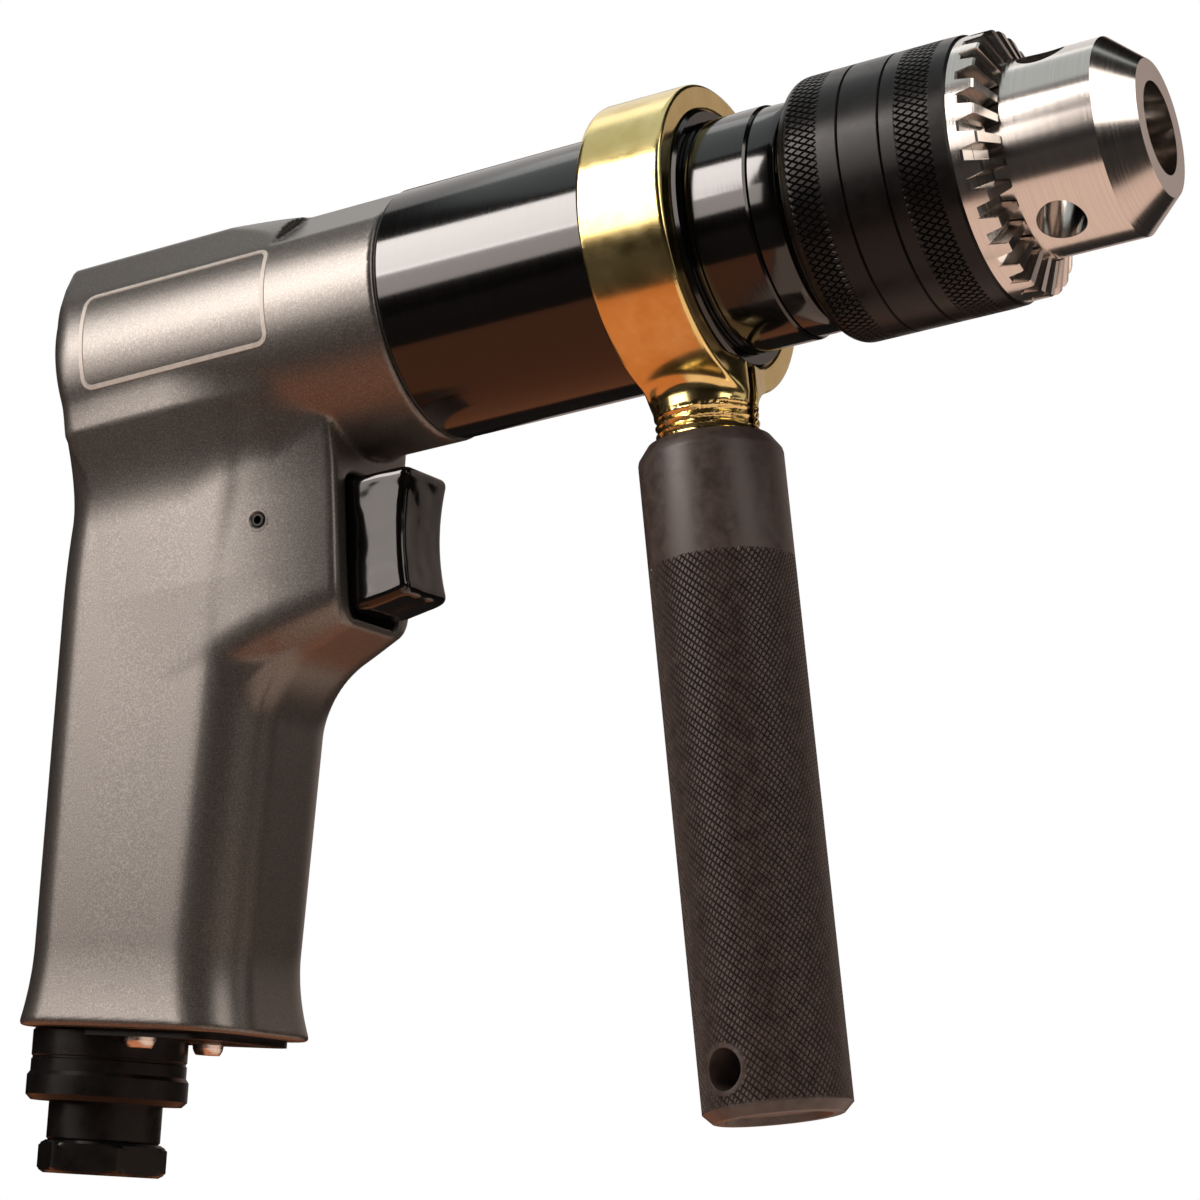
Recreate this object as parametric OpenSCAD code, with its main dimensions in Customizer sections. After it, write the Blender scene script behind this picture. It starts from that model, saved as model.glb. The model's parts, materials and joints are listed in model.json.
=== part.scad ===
// Pistol-grip air drill with a keyed chuck and a brass clamp that carries a screw-on side handle.
// The origin is the centre of the chuck's nose face, +X points out of the chuck, +Z is up.
// Distances named ..._at and ..._end are measured backwards from the nose face.

/* [Chuck] */
// Radius of the lead-in at the mouth
mouth_r = 7.55; // [7:0.05:9]
// Length of the lead-in at the mouth
mouth_l = 5.4; // [3:0.1:5.5]
// Radius of the flat ring on the nose
nose_face_r = 11.1; // [9.5:0.1:13]
// Radius of the steel nose
nose_r = 16; // [15:0.1:16.8]
// Length of the cone on the nose
nose_cone_l = 5.6; // [4:0.1:8]
// Distance of the key holes behind the nose face
key_hole_at = 15.1; // [13.5:0.1:16.5]
// Radius of the key holes
key_hole_r = 3.95; // [3:0.05:4.3]
// Length of the nose in front of the gear's rim
rim_at = 21; // [20.6:0.1:22]
// Width of the toothed steel rim
rim_w = 6; // [5.6:0.1:8]
// Outer radius of the key gear
gear_r = 21.5; // [21:0.1:22.5]
// Number of teeth on the key gear
key_teeth = 29; // [24:1:34]
// Depth of a tooth at the rim
tooth_depth = 4.1; // [3:0.1:4.4]
// Radius of the black sleeve
sleeve_r = 22; // [21.2:0.1:24]
// Length of the black sleeve
sleeve_l = 28.5; // [27:0.1:36]
// Radius of one jaw
jaw_r = 3.2; // [2.8:0.05:3.4]
// Slope of the jaws to the spindle
jaw_slope = 16; // [15.5:0.1:16.5]
// Travel of a jaw along its own hole
jaw_travel = 20.8; // [18:0.1:21]
// Length of a jaw
jaw_l = 33.3; // [32:0.1:34]
// Radius of the spindle's screwed nose
spindle_nose_r = 6.2; // [5.5:0.1:6.8]

/* [Gear case] */
// Radius of the gear case barrel
case_r = 21.7; // [21.3:0.1:23]
// Length of the barrel from the housing to the collar
barrel_l = 55.5; // [55:0.1:70]
// Radius of the front collar
collar_r = 19.5; // [18.8:0.1:20.5]
// Length of the front collar
collar_l = 9.2; // [9.2:0.1:14]
// Length of the bearing cap
cap_l = 8; // [6:0.1:12]
// Outer radius of the spindle bearings
bearing_r = 16; // [14:0.1:16.3]
// Width of the spindle bearings
bearing_w = 9; // [7:0.1:9]
// Radius of the spindle
spindle_r = 7.5; // [6.8:0.1:8.5]
// Gear module
gear_module = 0.78; // [0.74:0.01:0.79]
// Face width of the planets
planet_w = 11.5; // [9:0.1:12]
// Radius of the planet pins
planet_pin_r = 2; // [1.6:0.05:2.3]

/* [Housing] */
// Radius of the round head
head_r = 22; // [21.8:0.1:24]
// Length of the head
head_l = 65.8; // [65.8:0.1:80]
// How far the two shoulders on top stand out of the round head
shoulder_rise = 1.6; // [0.8:0.1:2.2]
// Angle of the shoulders to the vertical
shoulder_angle = 31; // [28:0.5:34]
// Slope of the grip to the vertical
grip_rake = 9.6; // [7:0.1:12]
// Distance of the grip axis behind the nose face, on the barrel axis
grip_at = 185.75; // [185:0.1:190]
// Length of the grip below the barrel axis
grip_l = 114; // [108:0.5:130]
// Depth of the grip behind its axis
grip_back = 10.6; // [10:0.1:13]
// Depth of the grip in front of its axis
grip_front = 30.6; // [29:0.1:33]
// Width of the grip
grip_w = 33; // [31:0.1:37]
// Flare of the grip's foot
foot_flare = 3.6; // [1:0.1:5]
// Distance of the trigger boss face behind the nose face
boss_at = 145.5; // [144:0.1:147]
// Width of the trigger boss at its face
boss_w = 25.8; // [24:0.1:28]
// Height of the boss's lower lip below the barrel axis
boss_low = 52; // [51.6:0.1:54]

/* [Trigger] */
// Width of the trigger
trigger_w = 14.4; // [12:0.1:15]
// Height of the trigger's top below the barrel axis
trigger_top = 28; // [27.5:0.1:30]
// Height of the trigger
trigger_h = 21.4; // [19:0.1:21.8]
// How far the trigger stands out of its boss
trigger_out = 11.5; // [8:0.1:13]
// Travel of the trigger
trigger_travel = 6; // [4:0.1:7]
// Radius of the valve stem
stem_r = 2.4; // [2:0.05:2.8]
// Radius of the throttle bushing
bushing_r = 5.2; // [4.8:0.1:6]

/* [Air inlet] */
// Radius of the inlet bushing
inlet_r = 13.3; // [12:0.1:13.6]
// Radius of the raised ring on the bushing
inlet_ring_r = 13.8; // [13.6:0.1:14.5]
// Radius of the fitting's neck
neck_r = 9.7; // [9:0.1:10.5]
// Width across the flats of the fitting's hexagon
hex_af = 20; // [19:0.1:22]
// Radius of the inlet thread
inlet_thread_r = 5.6; // [5:0.05:6]

/* [Side handle] */
// Wall of the clamp ring
clamp_wall = 4.3; // [3:0.1:6]
// Width of the clamp ring
clamp_w = 15.2; // [12:0.1:18]
// Radius of the clamp's screwed stud
stud_r = 8.6; // [7.5:0.1:9.2]
// Width of the slot in the clamp
slot_w = 2.4; // [1:0.1:3]
// Radius of the handle
handle_r = 11.9; // [11:0.1:14]
// Height of the handle's top below the barrel axis
handle_top = 33.6; // [31:0.1:38]
// Length of the handle
handle_l = 109.4; // [95:0.1:130]
// Radius of the cross hole in the handle
cross_hole_r = 3.3; // [2:0.1:3.8]

/* [Hidden] */
$fn = 48;
run_gap = 0.06;
fit_gap = 0.01;
clear_gap = 0.3;

// Stations along the barrel
sleeve_at = rim_at + rim_w;
sleeve_end = sleeve_at + sleeve_l;
cap_at = sleeve_end + 0.8;
collar_at = cap_at + cap_l;
barrel_at = collar_at + collar_l;
case_end = barrel_at + barrel_l;
seal_w = 1.2;
head_at = case_end + seal_w;
head_end = head_at + head_l;
clamp_at = barrel_at + 0.5;
clamp_mid = clamp_at + clamp_w / 2;
clamp_r = case_r + clamp_wall;

// Chuck
body_end = sleeve_end - 0.8;
sleeve_bore_r = 19.3;
body_r = sleeve_bore_r - run_gap;
inner_mouth_r = mouth_r - 0.35;
mouth_floor = 30;
nut_l = 7;
nut_at = sleeve_at - 2.8;
nut_end = nut_at + nut_l;
jaw_tip_out = 3;
jaw_grip_r = 0.75;
jaw_axis_r = jaw_grip_r + 0.9;
groove_r = jaw_line(nut_at) - 2 * clear_gap;
screw_r = 3;

// Distance of a jaw's outer edge from the spindle axis, at a distance behind the nose face
function jaw_line(at) = jaw_axis_r + (at + jaw_tip_out) * tan(jaw_slope) + jaw_r / cos(jaw_slope);

// Planet gears: the ring has one tooth count with the planets and the suns
sun_teeth = 10;
planet_teeth = 14;
ring_teeth = sun_teeth + 2 * planet_teeth;
orbit_r = gear_module * (sun_teeth + planet_teeth) / 2;
planet_angles = [0, 120, 240];
backlash = 0.16;
carrier_r = gear_module * ring_teeth / 2 - 1.3;
carrier_w = 5;

// Gear train and motor, counted from the rear of the gear case spigot forwards and backwards
spigot_l = 15;
spigot_r = 19.1;
spigot_end = case_end + spigot_l;
chamber_r = 16.9;
first_planet_end = spigot_end - 5.5;
first_planet_at = first_planet_end - planet_w;
first_carrier_end = first_planet_at - 0.6;
first_carrier_at = first_carrier_end - carrier_w;
second_planet_end = first_carrier_at - 1.2;
second_planet_at = second_planet_end - planet_w;
spindle_carrier_end = second_planet_at - 0.6;
spindle_carrier_at = spindle_carrier_end - carrier_w;
rear_bearing_end = spindle_carrier_at - 0.4;
rear_bearing_at = rear_bearing_end - bearing_w;
front_bearing_at = collar_at;
front_bearing_end = front_bearing_at + bearing_w;
flange_l = 2.6;
flange_r = spindle_r + 2;
nose_end = body_end;
nose_at = nose_end - 18;

motor_bearing_r = 11;
motor_bearing_w = 6;
shaft_r = 5;
plate_w = 9;
motor_r = spigot_r;
bore_end = head_end - 5;
rear_plate_at = bore_end - plate_w;
front_plate_end = spigot_end + plate_w;
rotor_at = front_plate_end + 0.1;
rotor_end = rear_plate_at - 0.1;
rotor_r = 13.9;
liner_r = 15.5;
liner_lift = liner_r - rotor_r - 0.1;
vane_t = 1.6;
vane_depth = 6.5;
vane_count = 5;

// Throttle valve, on an axis through the middle of the trigger
valve_z = -trigger_top - trigger_h / 2;
trigger_face_at = boss_at - trigger_out;
trigger_back_at = boss_at + 1.5;
pocket_w = trigger_w + 2;
pocket_end = trigger_back_at + trigger_travel + 1.5;
pocket_top = trigger_top - 1;
pocket_low = trigger_top + trigger_h + 1.2;
bushing_end = pocket_end + 13.5;
poppet_at = bushing_end + clear_gap;
poppet_l = 2.8;
poppet_r = bushing_r - 0.8;
spring_at = poppet_at + poppet_l + 0.1;
spring_l = trigger_travel * 2.1;
chamber_end = spring_at + spring_l + 0.1;
roll_pin_r = 1.25;
roll_pin_at = pocket_end + 4.3;
roll_pin_z = valve_z + bushing_r + 0.1;

// Inlet stack, measured down the grip axis from the barrel axis
foot_at = grip_l;
inlet_ring_at = foot_at + 8;
inlet_neck_at = inlet_ring_at + 4.2;
inlet_hex_at = inlet_neck_at + 6.6;
hex_l = 5.6;
hex_face_r = hex_af / 2 - 0.15;
inlet_end = inlet_hex_at + hex_l;
spigot_in_r = 8;
spigot_in_l = 14;
liner_in_r = 6.5;
screen_w = 1;
air_way_r = 6;
plate_t = 1.2;
felt_r = 7.8;
felt_l = 30;
felt_u = 20;
screw_u = inlet_r - 0.2;
screw_v = 10.3;
screw_head_r = 2.7;
screw_shank_r = 1.5;

grip_stations = [for (i = [0:17]) 8 + (foot_at - 8) * i / 17];
section_points = 32;
section_power = 2.8;
flare_from = foot_at - 21;
blend_to = 28;

// Grip outline: half width, rear depth and front depth at a distance down the grip axis
function foot(s) = s > flare_from ? pow((s - flare_from) / (foot_at - flare_from), 2) : 0;
function neck(s) = s < blend_to ? pow((blend_to - s) / (blend_to - 5), 2) : 0;
function half_width(s) = grip_w / 2 + 4.7 * neck(s) + 0.55 * foot_flare * foot(s);
function rear_depth(s) = grip_back - 1.9 * neck(s) + 0.9 * foot_flare * foot(s);
function front_depth(s) = grip_front + 0.075 * max(0, flare_from - s) + 1.15 * foot_flare * foot(s);
function rounded(c) = sign(c) * pow(abs(c), 2 / section_power);
function section_point(s, a) =
    let (half = (front_depth(s) + rear_depth(s)) / 2)
    [(front_depth(s) - rear_depth(s)) / 2 + half * rounded(cos(a)), half_width(s) * rounded(sin(a)), -s];

// Points of an arc, for outlines
function arc(centre, r, from, to, steps = 8) =
    [for (i = [0:steps])
        let (a = from + (to - from) * i / steps)
        centre + r * [cos(a), sin(a)]];

// Solid of revolution about the barrel axis from [distance, radius] points
module turned(points)
    rotate([0, -90, 0])
        rotate_extrude()
            polygon([for (p = points) [p[1], p[0]]]);

// Round bar on the barrel axis between two distances
module bar(from, to, r)
    translate([-to, 0, 0])
        rotate([0, 90, 0])
            cylinder(r = r, h = to - from);

// Flat outline carried along the barrel axis between two distances
module along(from, to)
    translate([-to, 0, 0])
        rotate([0, 90, 0])
            linear_extrude(to - from)
                children();

// Places its children in the grip's own frame, with Z up the grip axis and X towards the front
module in_grip()
    translate([-grip_at, 0, 0])
        rotate([0, grip_rake, 0])
            children();

// Round bar down the grip axis
module grip_bar(from, to, r, u = 0, v = 0)
    in_grip()
        translate([u, v, -to])
            cylinder(r = r, h = to - from);

// Outline of a gear with involute flanks, thinned by the backlash at the pitch line
function spread(angle) = tan(angle) * 180 / PI - angle;
function flank(teeth, r, thin) =
    let (pitch = gear_module * teeth / 2, base = pitch * cos(20), used = max(r, base))
    90 / teeth - thin / pitch * 90 / PI + spread(20) - spread(acos(base / used));
function gear_points(teeth, tip, root, thin) =
    let (pitch = gear_module * teeth / 2)
    [for (i = [0:teeth - 1], p = [[root, -1], [pitch, -1], [tip, -1], [tip, 1], [pitch, 1], [root, 1]])
        let (a = 360 * i / teeth + p[1] * flank(teeth, p[0], thin))
        p[0] * [cos(a), sin(a)]];
module gear_outline(teeth, thin = backlash, tip = 0.7, root = 1.15)
    let (pitch = gear_module * teeth / 2)
    polygon(gear_points(teeth, pitch + tip * gear_module, pitch - root * gear_module, thin));
function planet_turn(angle) = angle + 180 - 360 / planet_teeth * (0.5 - angle * sun_teeth / 360);

module at_planet(angle)
    translate(orbit_r * [cos(angle), sin(angle)])
        children();

module planet(from, to, angle)
    color("lightsteelblue")
        difference() {
            along(from, to)
                at_planet(angle)
                    rotate(planet_turn(angle))
                        gear_outline(planet_teeth);
            along(from - 1, to + 1)
                at_planet(angle)
                    circle(r = planet_pin_r + run_gap);
        }

module planet_pins(from, to)
    color("silver")
        for (angle = planet_angles)
            along(from, to)
                at_planet(angle)
                    circle(r = planet_pin_r);

module pin_holes(from, to)
    for (angle = planet_angles)
        along(from, to)
            at_planet(angle)
                circle(r = planet_pin_r + fit_gap);

// Ball bearing as one ring, with its two faces recessed between the races
module bearing(from, to, r, bore_r)
    color("gainsboro")
        turned([[from, bore_r], [from, bore_r + 1.4], [from + 0.5, bore_r + 1.6], [from + 0.5, r - 1.6],
            [from, r - 1.4], [from, r], [to, r], [to, r - 1.4], [to - 0.5, r - 1.6], [to - 0.5, bore_r + 1.6],
            [to, bore_r + 1.4], [to, bore_r]]);

// Head outline across the barrel: two shoulders, each joined to the round head by tangents
shoulder_edge = 1.2;
shoulder_r = head_r + shoulder_rise;
shoulder_out = shoulder_r - shoulder_edge;
shoulder_lean = acos((head_r - shoulder_edge) / shoulder_out);
function tangent_point(at, r, side) = [at, 0] + r * [cos(shoulder_lean), side * sin(shoulder_lean)];
module shoulder_outline()
    for (side = [-1, 1])
        rotate(180 + side * shoulder_angle) {
            translate([shoulder_out, 0])
                circle(r = shoulder_edge);
            polygon([tangent_point(0, head_r, -1), tangent_point(shoulder_out, shoulder_edge, -1),
                tangent_point(shoulder_out, shoulder_edge, 1), tangent_point(0, head_r, 1)]);
        }

// Round bodies of the head: the shoulders rise out of the collar along a cone and end in a rounded rear edge
head_edge = 4;
collar_line = head_at + 20.3;
cone_end = collar_line + 12;
module round_head(front, r)
    turned(concat(front, arc([head_end - head_edge, r - head_edge], head_edge, 90, 0, 6), [[head_end, 0]]));

// Two flats on the round collar in front of the shoulders
flat_tilt = 32.6;
flat_out = head_r - 1.58;
module collar_flats()
    for (side = [-1, 1])
        rotate([side * flat_tilt, 0, 0])
            translate([-collar_line, -head_r, flat_out])
                cube([collar_line - head_at + 1, 2 * head_r, head_r]);

module grip_loft() {
    n = section_points;
    m = len(grip_stations);
    points = [for (s = grip_stations, i = [0:n - 1]) section_point(s, 360 * i / n)];
    sides = [for (j = [0:m - 2], i = [0:n - 1])
        each [[j * n + i, j * n + (i + 1) % n, (j + 1) * n + i],
            [j * n + (i + 1) % n, (j + 1) * n + (i + 1) % n, (j + 1) * n + i]]];
    caps = [[for (i = [n - 1:-1:0]) i], [for (i = [0:n - 1]) (m - 1) * n + i]];
    in_grip()
        polyhedron(points, concat(sides, caps));
}

// Trigger boss: a side outline with the hollow under its lip, cut to a plan that narrows to the front
boss_root_at = boss_at + 32;
boss_edge = 2.4;
hollow_r = 9;
hollow_at = boss_at + 7;
module trigger_boss()
    intersection() {
        translate([0, 50, 0])
            rotate([90, 0, 0])
                linear_extrude(100)
                    polygon(concat([[-boss_root_at, -10], [-boss_at, -10]],
                        arc([-boss_at - boss_edge, -boss_low + boss_edge + 0.4], boss_edge, 0, -80, 5),
                        arc([-hollow_at, -boss_low - 1.4 - hollow_r], hollow_r, 92, 172, 8),
                        [[-boss_root_at, -boss_low - 14]]));
        translate([0, 0, -100])
            linear_extrude(100)
                polygon(concat([[-boss_root_at, -grip_w / 2]],
                    arc([-boss_at - boss_edge, -boss_w / 2 + boss_edge], boss_edge, -83, 0, 5),
                    arc([-boss_at - boss_edge, boss_w / 2 - boss_edge], boss_edge, 0, 83, 5),
                    [[-boss_root_at, grip_w / 2]]));
    }

module valve_bar(from, to, r)
    translate([0, 0, valve_z])
        bar(from, to, r);

module cross_bar(at, z, r, l)
    translate([-at, l / 2, z])
        rotate([90, 0, 0])
            cylinder(r = r, h = l);

module screw_holes(from, to)
    for (side = [-1, 1])
        grip_bar(from, to, screw_shank_r + fit_gap, screw_u, side * screw_v);

module housing()
    color("dimgray")
        difference() {
            union() {
                round_head([[head_at, 0], [head_at, head_r]], head_r);
                intersection() {
                    along(collar_line, head_end)
                        shoulder_outline();
                    round_head([[collar_line, 0], [collar_line, head_r - 0.1], [cone_end, shoulder_r]],
                        shoulder_r);
                }
                grip_loft();
                trigger_boss();
            }
            collar_flats();
            bar(head_at - 1, bore_end, motor_r + run_gap);
            translate([-pocket_end, -pocket_w / 2, -pocket_low])
                cube([pocket_end - boss_at + 1, pocket_w, pocket_low - pocket_top]);
            valve_bar(pocket_end - 1, chamber_end, bushing_r + fit_gap);
            cross_bar(roll_pin_at, roll_pin_z, roll_pin_r + fit_gap, 2 * grip_w);
            grip_bar(-valve_z - 2, foot_at + 1, air_way_r);
            grip_bar(foot_at - spigot_in_l - 0.2, foot_at + 1, spigot_in_r + fit_gap);
            grip_bar(foot_at - felt_l, foot_at + 1, felt_r + fit_gap, felt_u);
            screw_holes(foot_at - 10, foot_at + 1);
        }

module motor_cylinder()
    color("lightgray")
        difference() {
            bar(front_plate_end, rear_plate_at, motor_r);
            translate([0, 0, liner_lift])
                bar(front_plate_end - 1, rear_plate_at + 1, liner_r);
            for (x = [0.3, 0.5, 0.7])
                translate([-front_plate_end - (rear_plate_at - front_plate_end) * x, 0, -liner_r])
                    cylinder(r = 2, h = 20, center = true);
        }

module rear_end_plate()
    color("silver")
        turned([[rear_plate_at, shaft_r + 0.4], [rear_plate_at, motor_r], [bore_end, motor_r],
            [bore_end, motor_bearing_r + fit_gap], [bore_end - motor_bearing_w, motor_bearing_r + fit_gap],
            [bore_end - motor_bearing_w, shaft_r + 0.4]]);

module front_end_plate()
    color("silver")
        turned([[spigot_end, motor_bearing_r + fit_gap], [spigot_end, motor_r], [front_plate_end, motor_r],
            [front_plate_end, shaft_r + 0.4], [spigot_end + motor_bearing_w, shaft_r + 0.4],
            [spigot_end + motor_bearing_w, motor_bearing_r + fit_gap]]);

module rear_rotor_bearing()
    bearing(bore_end - motor_bearing_w, bore_end, motor_bearing_r, shaft_r + run_gap);

module front_rotor_bearing()
    bearing(spigot_end, spigot_end + motor_bearing_w, motor_bearing_r, shaft_r + run_gap);

module ring_gear()
    color("slategray")
        difference() {
            bar(second_planet_at - 0.6, first_planet_end + 0.6, chamber_r - fit_gap);
            along(second_planet_at - 2, first_planet_end + 2)
                rotate(180 / ring_teeth)
                    gear_outline(ring_teeth, -backlash, 1.15, 0.7);
        }

module gear_case()
    color("#1c1c1e")
        turned([[collar_at, bearing_r + fit_gap], [collar_at, collar_r - 0.3], [collar_at + 0.3, collar_r],
            [barrel_at - 2.2, collar_r], [barrel_at - 1.9, collar_r - 0.3], [barrel_at - 1.4, collar_r - 0.3],
            [barrel_at - 1.1, collar_r], [barrel_at, collar_r], [barrel_at, case_r - 0.5],
            [barrel_at + 0.5, case_r], [case_end, case_r], [case_end, spigot_r], [spigot_end, spigot_r],
            [spigot_end, chamber_r], [rear_bearing_end + 0.2, chamber_r],
            [rear_bearing_end + 0.2, bearing_r + fit_gap], [rear_bearing_at, bearing_r + fit_gap],
            [rear_bearing_at, spindle_r + 3], [front_bearing_end, spindle_r + 3],
            [front_bearing_end, bearing_r + fit_gap]]);

module case_seal()
    color("#101010")
        turned([[case_end, spigot_r + fit_gap], [case_end, case_r - 0.2], [case_end + seal_w / 2, case_r],
            [head_at, case_r - 0.2], [head_at, spigot_r + fit_gap]]);

module rear_spindle_bearing()
    bearing(rear_bearing_at, rear_bearing_end, bearing_r, spindle_r + run_gap);

module front_spindle_bearing()
    bearing(front_bearing_at, front_bearing_end, bearing_r, spindle_r + run_gap);

module bearing_cap()
    color("#161618")
        turned([[cap_at, flange_r + clear_gap], [cap_at, collar_r - 2.2], [cap_at + 1.2, collar_r - 0.6],
            [cap_at + 2.4, collar_r - 0.3], [collar_at - 0.3, collar_r - 0.3], [collar_at, collar_r - 0.6],
            [collar_at, flange_r + clear_gap]]);

module throttle_bushing()
    color("goldenrod")
        translate([0, 0, valve_z])
            turned([[pocket_end, stem_r + run_gap], [pocket_end, bushing_r],
                [roll_pin_at - roll_pin_r - 0.2, bushing_r],
                [roll_pin_at - roll_pin_r - 0.2, bushing_r - roll_pin_r - 0.2],
                [roll_pin_at + roll_pin_r + 0.2, bushing_r - roll_pin_r - 0.2],
                [roll_pin_at + roll_pin_r + 0.2, bushing_r], [bushing_end, bushing_r],
                [bushing_end, stem_r + run_gap]]);

module roll_pin()
    color("#303030")
        difference() {
            cross_bar(roll_pin_at, roll_pin_z, roll_pin_r, roll_pin_l);
            cross_bar(roll_pin_at, roll_pin_z, roll_pin_r / 2, roll_pin_l + 2);
        }
roll_pin_l = boss_w + (grip_w - boss_w) * (roll_pin_at - boss_at) / (boss_root_at - boss_at) - 0.4;

module inlet_bushing()
    color("#1a1a1a")
        in_grip()
            rotate([180, 0, 0])
                rotate_extrude()
                    polygon([[liner_in_r + fit_gap, foot_at - spigot_in_l],
                        [spigot_in_r, foot_at - spigot_in_l], [spigot_in_r, foot_at],
                        [inlet_r - 0.4, foot_at], [inlet_r, foot_at + 0.4],
                        [inlet_r, inlet_ring_at - 0.6], [inlet_ring_r, inlet_ring_at],
                        [inlet_ring_r, inlet_neck_at - 0.8], [inlet_ring_r - 0.8, inlet_neck_at],
                        [liner_in_r + fit_gap, inlet_neck_at]]);

module inlet_fitting()
    color("#151515")
        difference() {
            union() {
                grip_bar(foot_at, inlet_neck_at, liner_in_r);
                grip_bar(inlet_neck_at, inlet_hex_at + 0.1, neck_r);
                in_grip()
                    translate([0, 0, -inlet_end])
                        rotate(15)
                            intersection() {
                                cylinder(r = hex_af / sqrt(3), h = hex_l, $fn = 6);
                                rotate_extrude()
                                    polygon([[0, 0], [hex_face_r, 0], [hex_face_r + 2.35, 1.2],
                                        [hex_face_r + 2.35, hex_l - 1.2], [hex_face_r, hex_l], [0, hex_l]]);
                            }
            }
            grip_bar(foot_at - 1, inlet_end - 13, inlet_thread_r - 1);
            grip_bar(inlet_end - 14, inlet_end + 1, inlet_thread_r);
        }

module inlet_screen()
    color("silver")
        difference() {
            grip_bar(foot_at - screen_w, foot_at, liner_in_r);
            for (u = [-4:2:4], v = [-4:2:4])
                if (norm([u, v]) < liner_in_r - 1.2)
                    grip_bar(foot_at - screen_w - 1, foot_at + 1, 0.7, u, v);
        }

// Exhaust plate: a plate on the foot that closes round the inlet and holds the felt in
module exhaust_plate()
    color("#2a2a2a")
        difference() {
            in_grip()
                translate([0, 0, -foot_at - plate_t])
                    linear_extrude(plate_t)
                        difference() {
                            union() {
                                translate([4, -8])
                                    square([grip_front - 5, 16]);
                                translate([4, -13.5])
                                    square([grip_front - 10.5, 27]);
                                for (side = [-1, 1])
                                    translate([grip_front - 6.5, side * 8])
                                        circle(r = 5.5);
                            }
                            circle(r = inlet_r + clear_gap);
                            for (v = [-6:3:6])
                                translate([felt_u - 4, v - 0.8])
                                    square([9, 1.6]);
                        }
            screw_holes(foot_at - 1, foot_at + plate_t + 1);
        }

module exhaust_screws()
    color("whitesmoke")
        for (side = [-1, 1])
            in_grip()
                translate([screw_u, side * screw_v, -foot_at - plate_t])
                    rotate([180, 0, 0])
                        rotate_extrude()
                            polygon(concat([[0, -9], [screw_shank_r, -9], [screw_shank_r, 0]],
                                [[screw_head_r, 0]], arc([0, 0], screw_head_r, 12, 40, 4),
                                [[0, screw_head_r * sin(40)]]));

module muffler_felt()
    color("tan")
        grip_bar(foot_at - felt_l, foot_at, felt_r, felt_u);

// Trigger: a block with a hollowed face, its corners rounded in plan
module trigger()
    color("#0c0c0c")
        difference() {
            intersection() {
                translate([0, trigger_w / 2, 0])
                    rotate([90, 0, 0])
                        linear_extrude(trigger_w)
                            polygon(concat([[-trigger_back_at, -trigger_top - trigger_h],
                                [-trigger_back_at, -trigger_top]],
                                [[-trigger_face_at - 1, -trigger_top]],
                                [for (t = [0:1 / 12:1])
                                    [-trigger_face_at - 1.3 + 5.2 * pow(t - 0.5, 2) - 1.2 * t,
                                        -trigger_top - 0.5 - (trigger_h - 1) * t]],
                                [[-trigger_face_at - 2.2, -trigger_top - trigger_h]]));
                translate([0, 0, -trigger_top - trigger_h - 1])
                    linear_extrude(trigger_h + 2)
                        polygon(concat([[-trigger_back_at - 1, -trigger_w / 2]],
                            arc([-trigger_face_at - 1.6, -trigger_w / 2 + 1.6], 1.6, -90, 0, 5),
                            arc([-trigger_face_at - 1.6, trigger_w / 2 - 1.6], 1.6, 0, 90, 5),
                            [[-trigger_back_at - 1, trigger_w / 2]]));
            }
            valve_bar(trigger_back_at - 5, trigger_back_at + 1, stem_r + fit_gap);
        }

module valve_stem()
    color("silver")
        translate([0, 0, valve_z])
            turned([[trigger_back_at - 5, 0], [trigger_back_at - 5, stem_r], [poppet_at, stem_r],
                [poppet_at, poppet_r], [poppet_at + 1.4, poppet_r], [poppet_at + poppet_l, poppet_r - 1],
                [poppet_at + poppet_l, 0]]);

// Spring: one unbroken tube whose centre line climbs round the valve axis
spring_wire_r = 0.45;
spring_mean_r = bushing_r - spring_wire_r - 0.6;
spring_turns = 5;
spring_rings = 8 * spring_turns;
spring_run = spring_l - 2 * spring_wire_r - 0.2;
function coil_point(i, a) =
    let (turn = 360 * i / 8, r = spring_mean_r + spring_wire_r * cos(a))
    [-spring_at - spring_wire_r - 0.1 - spring_run * i / spring_rings + spring_wire_r * sin(a),
        r * cos(turn), valve_z + r * sin(turn)];
module throttle_spring()
    color("lightgray")
        polyhedron([for (i = [0:spring_rings], k = [0:5]) coil_point(i, 60 * k)],
            concat([for (i = [0:spring_rings - 1], k = [0:5])
                each [[6 * i + k, 6 * i + (k + 1) % 6, 6 * (i + 1) + k],
                    [6 * i + (k + 1) % 6, 6 * (i + 1) + (k + 1) % 6, 6 * (i + 1) + k]]],
                [[5, 4, 3, 2, 1, 0]], [[for (k = [0:5]) 6 * spring_rings + k]]));

module vane_slots(gap, r)
    for (i = [0:vane_count - 1])
        rotate(360 * i / vane_count)
            translate([r - vane_depth, -vane_t / 2 - gap])
                square([vane_depth + 1, vane_t + 2 * gap]);

module rotor()
    color("gray")
        union() {
            along(rotor_at, rotor_end)
                difference() {
                    circle(r = rotor_r);
                    vane_slots(0.05, rotor_r - 0.1);
                }
            bar(spigot_end - 0.5, rotor_at + 0.1, shaft_r);
            bar(rotor_end - 0.1, bore_end - 0.2, shaft_r);
            along(first_planet_at - 0.3, spigot_end)
                gear_outline(sun_teeth);
        }

module rotor_vanes()
    color("saddlebrown")
        along(rotor_at + 0.05, rotor_end - 0.05)
            intersection() {
                circle(r = rotor_r);
                vane_slots(0, rotor_r);
            }

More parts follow.
